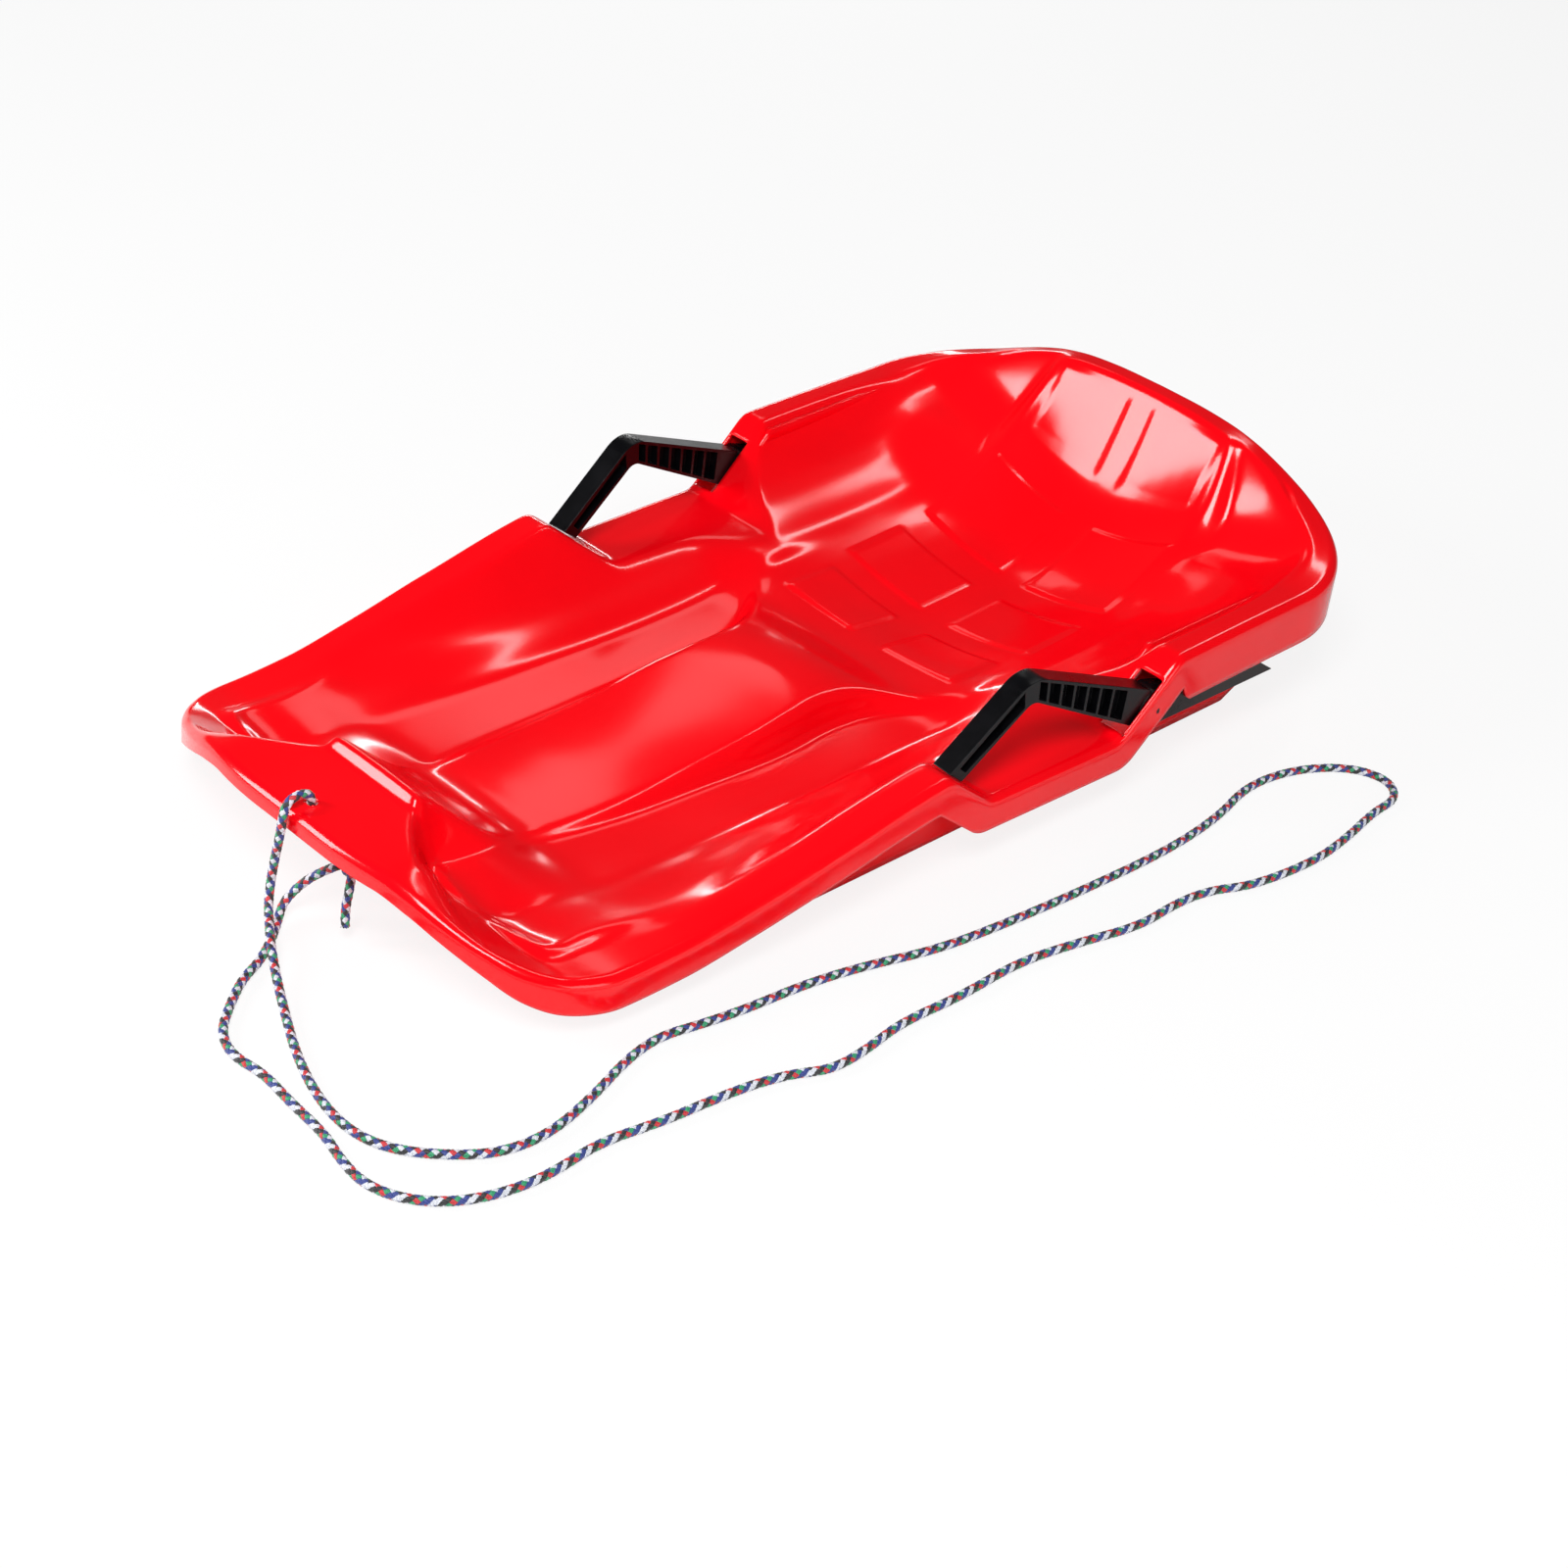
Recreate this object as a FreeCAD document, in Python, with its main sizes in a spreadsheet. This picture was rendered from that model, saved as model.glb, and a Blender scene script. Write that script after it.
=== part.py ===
import FreeCAD, Part
import math
import os
import Sketcher
from FreeCAD import Placement, Rotation, Vector

# Plastic sled with two hand brakes. The nose points to -Y, +X is the sled's
# left side, +Z is up, and the origin is the middle of the footprint on the snow.

os.makedirs("parts", exist_ok=True)
doc = FreeCAD.newDocument("sled")
sheet = doc.addObject("Spreadsheet::Sheet", "Sizes")

SIZES = [
    ("hull_length", 794),
    ("hull_width", 429),
    ("nose_width", 408),
    ("back_height", 150),
    ("side_height", 100.5),
    ("wall", 3.5),
    ("nose_corner", 75),
    ("tail_corner", 82),
    ("skirt_nose", 13),
    ("skirt_front", 24),
    ("skirt_rear", 38),
    ("notch_start", -42),
    ("notch_floor_start", -2),
    ("notch_floor_end", 122),
    ("notch_end", 172),
    ("notch_height", 50),
    ("pad_lift", 1.4),
    ("pad_corner", 4),
    ("pin_setback", 16),
    ("pin_lift", 12.5),
    ("pin_diameter", 4),
    ("pin_clearance", 0.05),
    ("lever_width", 16),
    ("lever_clearance", 1.2),
    ("lever_reach", 183),
    ("lever_splay", 4.4),
    ("lever_web", 3),
    ("lever_flange", 2.6),
    ("lever_seat_gap", 0.3),
    ("hub_radius", 14.5),
    ("hole_diameter", 8),
    ("hole_y", -380),
    ("rope_diameter", 6),
    ("knot_radius", 8),
    ("knot_height", 17),
]
for row, (name, value) in enumerate(SIZES, start=1):
    sheet.set("A%d" % row, name)
    sheet.set("B%d" % row, str(value))
    sheet.setAlias("B%d" % row, name)
doc.recompute()


def size(name):
    return float(sheet.get(name))


# The tub's inner surface, one row per station from nose to tail. Shares of
# hull length (y), half hull width (x) and back height (z): y, edge x of the
# knee ramp or seat, z at the middle, at that edge and at its foot, x and z of
# the floor line, x and z of the mouth.
TUB_SHARES = [
    (-0.4861, 0.374, 0.667, 0.667, 0.640, 0.467, 0.613, 0.570, 0.587),
    (-0.4610, 0.346, 0.667, 0.653, 0.533, 0.486, 0.527, 0.682, 0.480),
    (-0.4433, 0.280, 0.673, 0.667, 0.487, 0.467, 0.453, 0.738, 0.420),
    (-0.4257, 0.220, 0.633, 0.627, 0.447, 0.481, 0.380, 0.785, 0.387),
    (-0.3778, 0.210, 0.417, 0.410, 0.340, 0.505, 0.267, 0.850, 0.347),
    (-0.3451, 0.215, 0.280, 0.273, 0.253, 0.509, 0.223, 0.869, 0.347),
    (-0.3149, 0.215, 0.213, 0.210, 0.193, 0.509, 0.200, 0.874, 0.353),
    (-0.2922, 0.224, 0.207, 0.200, 0.177, 0.509, 0.193, 0.874, 0.360),
    (-0.2280, 0.245, 0.207, 0.197, 0.160, 0.509, 0.180, 0.874, 0.440),
    (-0.1423, 0.252, 0.240, 0.227, 0.153, 0.509, 0.173, 0.869, 0.560),
    (-0.0529, 0.259, 0.290, 0.280, 0.153, 0.509, 0.171, 0.869, 0.640),
    (0.0504, 0.294, 0.287, 0.273, 0.180, 0.512, 0.187, 0.888, 0.673),
    (0.0831, 0.374, 0.233, 0.240, 0.203, 0.516, 0.207, 0.893, 0.687),
    (0.1259, 0.505, 0.207, 0.233, 0.227, 0.570, 0.240, 0.902, 0.700),
    (0.1775, 0.579, 0.173, 0.247, 0.250, 0.640, 0.267, 0.907, 0.713),
    (0.2695, 0.575, 0.180, 0.287, 0.290, 0.645, 0.300, 0.911, 0.720),
    (0.3413, 0.528, 0.227, 0.367, 0.367, 0.607, 0.367, 0.911, 0.727),
    (0.3929, 0.460, 0.353, 0.500, 0.487, 0.551, 0.460, 0.902, 0.727),
    (0.4295, 0.411, 0.513, 0.633, 0.613, 0.495, 0.560, 0.860, 0.720),
    (0.4559, 0.402, 0.767, 0.827, 0.793, 0.467, 0.707, 0.785, 0.753),
    (0.4811, 0.355, 1.093, 1.053, 1.033, 0.411, 1.000, 0.617, 0.827),
]
# Rows of the underside lie no further apart than this share of the length.
ROW_GAP_SHARE = 0.04
# Where the arch of ramp and seat is set out, as shares of its half width.
ARCH_SHARES = (0.4, 0.7, 1.0)
# Between floor line and mouth the wall curves up: shares of that width and rise.
WALL_SHARES = [(0.42, 0.13), (0.78, 0.40), (1.0, 1.0)]
EDGE_FOOT_SHARE = 0.03

# Height of the rim top along the sides: shares of hull length and side height.
RIM_SHARES = [
    (-0.524, 0.48), (-0.428, 0.42), (-0.378, 0.385), (-0.323, 0.405), (-0.258, 0.485),
    (-0.170, 0.625), (-0.055, 0.800), (0.214, 0.975), (0.426, 1.0), (0.524, 1.0),
]
# How far the rim rises at the middle of nose and tail: shares of half width and
# of side height.
NOSE_CROWN_SHARES = [
    (0.0, 0.34), (0.35, 0.335), (0.47, 0.28), (0.56, 0.21), (0.70, 0.10), (0.80, 0.03),
    (0.90, 0.0), (1.2, 0.0),
]
TAIL_CROWN_SHARES = [
    (0.0, 0.50), (0.28, 0.49), (0.40, 0.41), (0.47, 0.33), (0.58, 0.19), (0.70, 0.075),
    (0.84, 0.0), (1.2, 0.0),
]
TAB_RISE_SHARE = 0.33

# Raised pads on seat and back rest: shares of half width and hull length.
PAD_SHARES = [
    ((0.070, 0.375), (0.124, 0.183)),
    ((0.066, 0.405), (0.213, 0.282)),
    ((0.062, 0.405), (0.316, 0.403)),
    ((0.040, 0.350), (0.424, 0.468)),
]

# Side walls: foot x as a share of half width, width of the brake channel, and
# the side view of the wall as shares of hull length and back height.
KEEL_FOOT_SHARE = 0.805
CHANNEL_SHARE = 0.122
KEEL_SIDE_SHARES = [
    (-0.423, 0.26), (-0.373, 0.08), (-0.302, 0.0), (0.368, 0.0), (0.392, 0.12), (0.403, 0.5),
    (0.403, 1.2), (-0.423, 1.2),
]
# Corners of the lever slot from the pin: shares of the hub radius along and out
# of the notch's rear slope.
SLOT_SHARES = [(-1.6, 0.3), (1.32, 0.3), (1.32, 2.2), (-1.6, 2.2)]


def steady_curve(table, at):
    # Monotone cubic through the table's pairs, flat beyond its ends.
    if at <= table[0][0]:
        return table[0][1]
    if at >= table[-1][0]:
        return table[-1][1]
    slopes = [(b[1] - a[1]) / (b[0] - a[0]) for a, b in zip(table, table[1:])]
    tangents = [slopes[0]]
    for left, right in zip(slopes, slopes[1:]):
        tangents.append(0.0 if left * right <= 0 else 2 * left * right / (left + right))
    tangents.append(slopes[-1])
    for k in range(len(table) - 1):
        (x0, y0), (x1, y1) = table[k], table[k + 1]
        if x0 <= at <= x1:
            step = x1 - x0
            t = (at - x0) / step
            rise = y0 * (1 + 2 * t) * (1 - t) ** 2 + y1 * t * t * (3 - 2 * t)
            return rise + step * (tangents[k] * t * (1 - t) ** 2 - tangents[k + 1] * t * t * (1 - t))


def ease(at, start, end):
    t = min(max((at - start) / (end - start), 0.0), 1.0)
    return t * t * (3 - 2 * t)


def rim_height(x, y):
    # Top of the rim, seen as a height over the plan, without the brake notches.
    half = size("hull_width") / 2
    length = size("hull_length")
    side = size("side_height")
    nose_share = 1 - ease(y / length, -0.453, -0.388)
    tail_share = ease(y / length, 0.38, 0.468)
    height = steady_curve(RIM_SHARES, y / length)
    height += nose_share * steady_curve(NOSE_CROWN_SHARES, abs(x) / half)
    height += tail_share * steady_curve(TAIL_CROWN_SHARES, abs(x) / half)
    tab = max(y / length + 0.4625, 0.0) * length * TAB_RISE_SHARE
    middle = 1 - ease(abs(x) / half, 0.34, 0.50)
    return height * side + min(tab, 0.16 * side) * middle * nose_share


def smooth_curves(points):
    # One smooth curve along the hull through each column of a grid of points.
    first, last = points[0][0].y, points[-1][0].y
    shares = [(row[0].y - first) / (last - first) for row in points]
    curves = []
    for column in zip(*points):
        curve = Part.BSplineCurve()
        curve.interpolate(Points=list(column), Parameters=shares)
        curves.append(curve.toShape())
    return curves


def flat_sheets(points):
    # Two flat triangles for each cell of the grid, mirrored across the middle.
    sheets = []
    for row, after in zip(points, points[1:]):
        for a, b, c, d in zip(row, row[1:], after[1:], after):
            halves = ((a, b, c), (a, c, d)) if a.x + b.x > 0 else ((a, b, d), (b, c, d))
            sheets += [Part.Face(Part.makePolygon(half + half[:1])) for half in halves]
    return sheets


def solid_from(faces):
    skin = Part.Compound(faces)
    skin.sewShape()
    solid = Part.Solid(skin.Shells[0])
    if solid.Volume < 0:
        solid.reverse()
    return solid


def straight_edges(line):
    return [Part.LineSegment(a, b).toShape() for a, b in zip(line, line[1:])]


def swept_up(points, rise, smooth):
    # Solid between the grid's surface and the same surface moved up by rise. The
    # surface is smooth along the hull, or of flat triangles where it isn't seen.
    lift = Vector(0, 0, rise)
    if smooth:
        curves = smooth_curves(points)
        sheets = [Part.makeRuledSurface(a, b) for a, b in zip(curves, curves[1:])]
        border = [curves[0], curves[-1]]
    else:
        sheets = flat_sheets(points)
        border = straight_edges([row[0] for row in points]) + straight_edges([row[-1] for row in points])
    border += straight_edges(points[0]) + straight_edges(points[-1])
    faces = sheets + [edge.extrude(lift) for edge in border]
    for sheet_face in sheets:
        lifted = sheet_face.copy()
        lifted.translate(lift)
        faces.append(lifted)
    return solid_from(faces)


def rim_points(drop):
    half = size("hull_width") / 2
    length = size("hull_length")
    y_shares = [-0.524, -0.479, -0.453, -0.428, -0.403, -0.378, -0.322, -0.262, -0.171, -0.055,
                0.212, 0.33, 0.38, 0.41, 0.44, 0.468, 0.495, 0.524]
    x_shares = [0.16, 0.32, 0.42, 0.53, 0.65, 0.80, 1.1]
    x_shares = [-s for s in reversed(x_shares)] + [0.0] + x_shares
    rows = []
    for ys in y_shares:
        depth = drop(ys * length)
        rows.append([Vector(xs * half, ys * length, rim_height(xs * half, ys * length) - depth)
                     for xs in x_shares])
    return rows


def filled_in(points):
    # The grid with a row of its smooth surface added wherever two rows lie apart.
    columns = [curve.Curve for curve in smooth_curves(points)]
    first, last = points[0][0].y, points[-1][0].y
    rows = []
    for row, after in zip(points, points[1:]):
        rows.append(row)
        if after[0].y - row[0].y > ROW_GAP_SHARE * size("hull_length"):
            share = ((row[0].y + after[0].y) / 2 - first) / (last - first)
            rows.append([column.value(share) for column in columns])
    return rows + points[-1:]


def tub_row(shares):
    half = size("hull_width") / 2
    high = size("back_height")
    y = shares[0] * size("hull_length")
    edge = shares[1] * half
    middle, edge_z, foot_z = (s * high for s in shares[2:5])
    floor_x, floor_z, mouth_x, mouth_z = (s * k for s, k in zip(shares[5:], (half, high) * 2))
    side = [(share * edge, middle + (edge_z - middle) * share ** 2) for share in ARCH_SHARES]
    foot = min(edge + EDGE_FOOT_SHARE * half, edge + 0.4 * (floor_x - edge))
    side.append((foot, foot_z))
    side.append(((foot + floor_x) / 2, (foot_z + floor_z) / 2))
    side.append((floor_x, floor_z))
    for wide, rise in WALL_SHARES:
        side.append((floor_x + wide * (mouth_x - floor_x), floor_z + rise * (mouth_z - floor_z)))
    row = [Vector(-x, y, z) for x, z in reversed(side)]
    return row + [Vector(0, y, middle)] + [Vector(x, y, z) for x, z in side]


def offset_points(points, distance):
    # The grid moved along its own normals, positive upward.
    rows = []
    last_row, last_column = len(points) - 1, len(points[0]) - 1
    for i, row in enumerate(points):
        moved = []
        for j, point in enumerate(row):
            along = points[min(i + 1, last_row)][j] - points[max(i - 1, 0)][j]
            across = row[min(j + 1, last_column)] - row[max(j - 1, 0)]
            normal = across.cross(along).normalize()
            moved.append(point + normal * distance)
        rows.append(moved)
    return rows


def above(points, smooth=True):
    return swept_up(points, 3 * size("back_height"), smooth)


def below(points, smooth=True):
    return swept_up(points, -3 * size("back_height"), smooth)


def rounded(corners, inset=0):
    # Closed plan outline with an arc at each corner (x, y, radius), moved inward
    # by the inset.
    arcs = []
    for k, (x, y, radius) in enumerate(corners):
        point = Vector(x, y, 0)
        after = corners[(k + 1) % len(corners)]
        to_last = (Vector(corners[k - 1][0], corners[k - 1][1], 0) - point).normalize()
        to_next = (Vector(after[0], after[1], 0) - point).normalize()
        half_turn = (math.pi - to_last.getAngle(to_next)) / 2
        inward = (to_last + to_next).normalize()
        point += inward * (inset / math.cos(half_turn))
        cut = (radius - inset) * math.tan(half_turn)
        middle = point + inward * (radius - inset) * (1 / math.cos(half_turn) - 1)
        arcs.append((point + to_last * cut, middle, point + to_next * cut))
    edges = []
    for k, (start, middle, end) in enumerate(arcs):
        edges.append(Part.Arc(start, middle, end).toShape())
        edges.append(Part.LineSegment(end, arcs[(k + 1) % len(arcs)][0]).toShape())
    return Part.Wire(edges)


def plan_outline(inset=0):
    half = size("hull_width") / 2
    nose = size("nose_width") / 2
    y_end = size("hull_length") / 2
    right = [
        (0.45 * nose, -0.998 * y_end, 1.2 * half),
        (0.955 * nose, -0.87 * y_end, size("nose_corner")),
        (nose + 0.1 * (half - nose), -0.375 * y_end, 1.2 * half),
        (half, 0.425 * y_end, 1.2 * half),
        (half, y_end, size("tail_corner")),
    ]
    left = [(-x, y, r) for x, y, r in reversed(right)]
    return rounded(right + left, inset)


def solid_over(wire, low, high):
    base = Part.Face(wire)
    base.translate(Vector(0, 0, low))
    return base.extrude(Vector(0, 0, high - low))


def notch_slopes():
    # Run along Y per unit of rise of the notch's front and rear faces.
    lift = size("notch_height")
    front, floor_front = size("notch_start"), size("notch_floor_start")
    floor_rear, rear = size("notch_floor_end"), size("notch_end")
    rim_front = rim_height(size("nose_width") / 2, front)
    rim_rear = rim_height(size("hull_width") / 2, rear)
    return (front - floor_front) / (rim_front - lift), (rear - floor_rear) / (rim_rear - lift)


def notch_block(growth):
    # Room of the brake notch, in side view, grown outward by the given amount.
    top = 2 * size("back_height")
    lift = size("notch_height")
    front_slope, rear_slope = notch_slopes()
    floor_front, floor_rear = size("notch_floor_start"), size("notch_floor_end")
    half = size("hull_width")
    corners = [
        Vector(-half, floor_front + front_slope * (top - lift), top),
        Vector(-half, floor_front, lift),
        Vector(-half, floor_rear, lift),
        Vector(-half, floor_rear + rear_slope * (top - lift), top),
    ]
    wire = Part.makePolygon(corners + corners[:1])
    if growth > 0:
        wire = wire.makeOffset2D(growth)
    return Part.Face(wire).extrude(Vector(2 * half, 0, 0))


def skirt_depth(y):
    share = y / size("hull_length")
    depth = size("skirt_nose")
    depth += (size("skirt_front") - size("skirt_nose")) * ease(share, -0.494, -0.423)
    return depth + (size("skirt_rear") - size("skirt_front")) * ease(share, 0.224, 0.238)


def keel_wall(side):
    # One side wall from rim to snow: it leans in below the brake channel.
    half = size("hull_width") / 2
    nose = size("nose_width") / 2
    length = size("hull_length")
    high = size("back_height")
    wall = size("wall")
    foot_x = KEEL_FOOT_SHARE * half
    sections = []
    for y, edge_x in ((-0.44 * length, nose), (0.44 * length, half)):
        knee_x = edge_x - CHANNEL_SHARE * half
        knee_z = 0.4 * high
        line = [(foot_x, 0.0), (knee_x, knee_z), (knee_x + wall, 1.1 * high)]
        ring = line + [(x - wall, z) for x, z in reversed(line)]
        corners = [Vector(side * x, y, z) for x, z in ring]
        sections.append(Part.makePolygon(corners + corners[:1]))
    plate = Part.makeLoft(sections, True, True)
    profile = [Vector(0, ys * length, zs * high) for ys, zs in KEEL_SIDE_SHARES]
    window = Part.Face(Part.makePolygon(profile + profile[:1]))
    return plate.common(window.extrude(Vector(side * half, 0, 0)))


def pin_centre(side):
    # The lever fills the channel between skirt and side wall but for a clearance.
    skirt_inside = size("hull_width") / 2 - size("wall") - size("lever_clearance")
    x = skirt_inside - size("lever_width") / 2
    return Vector(side * x, size("notch_end") - size("pin_setback"), size("notch_height") + size("pin_lift"))


def slot_block(side):
    # Opening in the sloped rear face of the notch that lets the lever swing.
    slope = math.atan2(1, notch_slopes()[1])
    along = Vector(0, math.cos(slope), math.sin(slope))
    out = Vector(0, -math.sin(slope), math.cos(slope))
    hub = size("hub_radius")
    pin = pin_centre(side)
    corners = [pin + along * (a * hub) + out * (b * hub) for a, b in SLOT_SHARES]
    splay_run = 2.6 * hub * math.tan(math.radians(size("lever_splay")))
    reach = size("lever_width") / 2 + size("lever_clearance")
    face = Part.Face(Part.makePolygon(corners + corners[:1]))
    face.translate(Vector(-side * (reach + splay_run), 0, 0))
    return face.extrude(Vector(side * (2 * reach + splay_run), 0, 0))


def pin_hole(side):
    start = pin_centre(side)
    start.x *= 0.8
    return Part.makeCylinder(size("pin_diameter") / 2, size("hull_width") / 4, start, Vector(side, 0, 0))


def seat_pads(points):
    half = size("hull_width") / 2
    length = size("hull_length")
    layer = above(points).cut(above(offset_points(points, size("pad_lift"))))
    round_by = size("pad_corner")
    pads = []
    for (x0, x1), (y0, y1) in PAD_SHARES:
        for side in (1, -1):
            ring = [(x0, y0), (x1, y0), (x1, y1), (x0, y1)]
            corners = [(side * x * half, y * length, round_by) for x, y in ring]
            tool = solid_over(rounded(corners), 0, 1.2 * size("back_height"))
            pads.append(layer.common(tool))
    return pads


def hull_shape():
    high = 2 * size("back_height")
    wall = size("wall")
    tub_points = [tub_row(shares) for shares in TUB_SHARES]
    outer_points = offset_points(filled_in(tub_points), -wall)
    low = -0.1 * high
    block = solid_over(plan_outline(), low, high).common(below(rim_points(lambda y: 0)))
    outside = block.cut(notch_block(0))
    under_rim = below(rim_points(lambda y: wall), smooth=False)
    inside = solid_over(plan_outline(wall), low, high).common(under_rim).cut(notch_block(wall))
    below_skirt = below(rim_points(skirt_depth)).cut(notch_block(size("skirt_front")))
    rim = outside.cut(inside).cut(below_skirt)
    tub = above(outer_points, smooth=False).common(outside)
    walls = [keel_wall(side).common(outside) for side in (1, -1)]
    hull = rim.fuse([tub] + walls).cut(above(tub_points)).fuse(seat_pads(tub_points))
    tools = [slot_block(side) for side in (1, -1)] + [pin_hole(side) for side in (1, -1)]
    hole_start = Vector(0, size("hole_y"), 0)
    tools.append(Part.makeCylinder(size("hole_diameter") / 2, high, hole_start))
    return hull.cut(tools).Solids[0]


# Side view of a brake lever from its pin, in shares of the lever's reach: the
# bend and the root of the arm, top and bottom, and the slopes of the grip.
BEND_TOP_SHARE = (-0.667, 0.338)
BEND_BOTTOM_SHARE = (-0.656, 0.238)
ROOT_TOP_SHARE = (-0.033, 0.090)
ROOT_BOTTOM_SHARE = (-0.044, -0.074)
GRIP_TOP_SLOPE = 0.80
GRIP_BOTTOM_SLOPE = 0.78
BLADE_SHARES = [
    (0.0, -0.079), (0.732, -0.087), (0.596, 0.003), (0.186, 0.019), (0.049, 0.068), (0.0, 0.076),
]
# Ribs of the arm: shares of the way from bend to root.
RIB_START_SHARE = 0.12
RIB_PITCH_SHARE = 0.112
RIB_COUNT = 6
CELL_START_SHARE = 0.045
CELL_END_SHARE = 0.80
GRIP_CELL_SHARES = (0.09, 0.88)


def between(start, end, share):
    return tuple(a + share * (b - a) for a, b in zip(start, end))


def grip_end(corner, slope):
    # Where a line of the grip meets the notch's front face, less the seat gap.
    reach = size("lever_reach")
    splay = math.radians(size("lever_splay"))
    run = notch_slopes()[0]
    pull_back = size("lever_seat_gap") * math.hypot(1, run) + size("lever_width") / 2 * math.sin(splay)
    foot_y = size("notch_floor_start") + pull_back - pin_centre(1).y
    y, z = (share * reach for share in corner)
    lift = size("notch_height") - pin_centre(1).z
    # The face: y * cos(splay) = foot_y + run * (z - lift).
    end_y = (foot_y + run * (z - slope * y - lift)) / (math.cos(splay) - run * slope)
    return end_y / reach, (z + slope * (end_y - y)) / reach


def lever_cells(tip_top, tip_bottom):
    # Recessed cells between the flanges and ribs, in shares of the reach.
    rib = size("lever_flange") / size("lever_reach")
    root_run = ROOT_TOP_SHARE[0] - BEND_TOP_SHARE[0]
    half_rib = rib / 2 / root_run
    ribs = [RIB_START_SHARE + k * RIB_PITCH_SHARE for k in range(RIB_COUNT)]
    starts = [CELL_START_SHARE] + [share + half_rib for share in ribs]
    ends = [share - half_rib for share in ribs] + [CELL_END_SHARE]
    spans = [(BEND_TOP_SHARE, ROOT_TOP_SHARE, BEND_BOTTOM_SHARE, ROOT_BOTTOM_SHARE, a, b)
             for a, b in zip(starts, ends)]
    spans.append((tip_top, BEND_TOP_SHARE, tip_bottom, BEND_BOTTOM_SHARE) + GRIP_CELL_SHARES)
    cells = []
    for top_a, top_b, low_a, low_b, a, b in spans:
        corners = []
        for share, order in ((a, 1), (b, -1)):
            top, low = between(top_a, top_b, share), between(low_a, low_b, share)
            inset = rib / (top[1] - low[1])
            corners += [between(low, top, inset), between(low, top, 1 - inset)][::order]
        cells.append(corners)
    return cells


def origin_plane(body, role):
    return next(item for item in body.Origin.OriginFeatures if item.Role == role)


def side_sketch(body, name, outlines, splay):
    # Sketch in the lever's side view, every corner bound to the lever's reach.
    sketch = body.newObject("Sketcher::SketchObject", name)
    sketch.AttachmentSupport = [(origin_plane(body, "YZ_Plane"), "")]
    sketch.MapMode = "FlatFace"
    sketch.AttachmentOffset = Placement(Vector(), Rotation(Vector(0, 1, 0), splay))
    reach = size("lever_reach")
    for outline in outlines:
        first = sketch.GeometryCount
        count = len(outline)
        for k, (y, z) in enumerate(outline):
            next_y, next_z = outline[(k + 1) % count]
            start = Vector(y * reach, z * reach, 0)
            sketch.addGeometry(Part.LineSegment(start, Vector(next_y * reach, next_z * reach, 0)))
        for k, corner in enumerate(outline):
            after = first + (k + 1) % count
            sketch.addConstraint(Sketcher.Constraint("Coincident", first + k, 2, after, 1))
            for kind, share in zip(("DistanceX", "DistanceY"), corner):
                bound = Sketcher.Constraint(kind, -1, 1, first + k, 1, share * reach)
                index = sketch.addConstraint(bound)
                sketch.setExpression("Constraints[%d]" % index, "%.5f * Sizes.lever_reach" % share)
    return sketch


def round_sketch(body, name, expression):
    sketch = body.newObject("Sketcher::SketchObject", name)
    sketch.AttachmentSupport = [(origin_plane(body, "YZ_Plane"), "")]
    sketch.MapMode = "FlatFace"
    sketch.addGeometry(Part.Circle(Vector(), Vector(0, 0, 1), 1))
    sketch.addConstraint(Sketcher.Constraint("Coincident", 0, 3, -1, 1))
    sketch.addConstraint(Sketcher.Constraint("Radius", 0, 1))
    sketch.setExpression("Constraints[1]", expression)
    return sketch


def side_pad(body, name, sketch, width):
    pad = body.newObject("PartDesign::Pad", name)
    pad.Profile = sketch
    pad.SideType = "Symmetric"
    pad.setExpression("Length", width)
    sketch.Visibility = False
    return pad


def bend_edges(shape, corner, splay):
    # Names of the edges that run across the arm at a corner of its outline.
    turn = Rotation(Vector(0, 0, 1), splay)
    reach = size("lever_reach")
    spot = turn.multVec(Vector(0, corner[0] * reach, corner[1] * reach))
    across = turn.multVec(Vector(1, 0, 0))
    names = []
    for number, edge in enumerate(shape.Edges, start=1):
        ends = [vertex.Point for vertex in edge.Vertexes]
        near = all(end.distanceToLine(spot, across) < 0.01 for end in ends)
        if len(ends) == 2 and near:
            names.append("Edge%d" % number)
    return names


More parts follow.
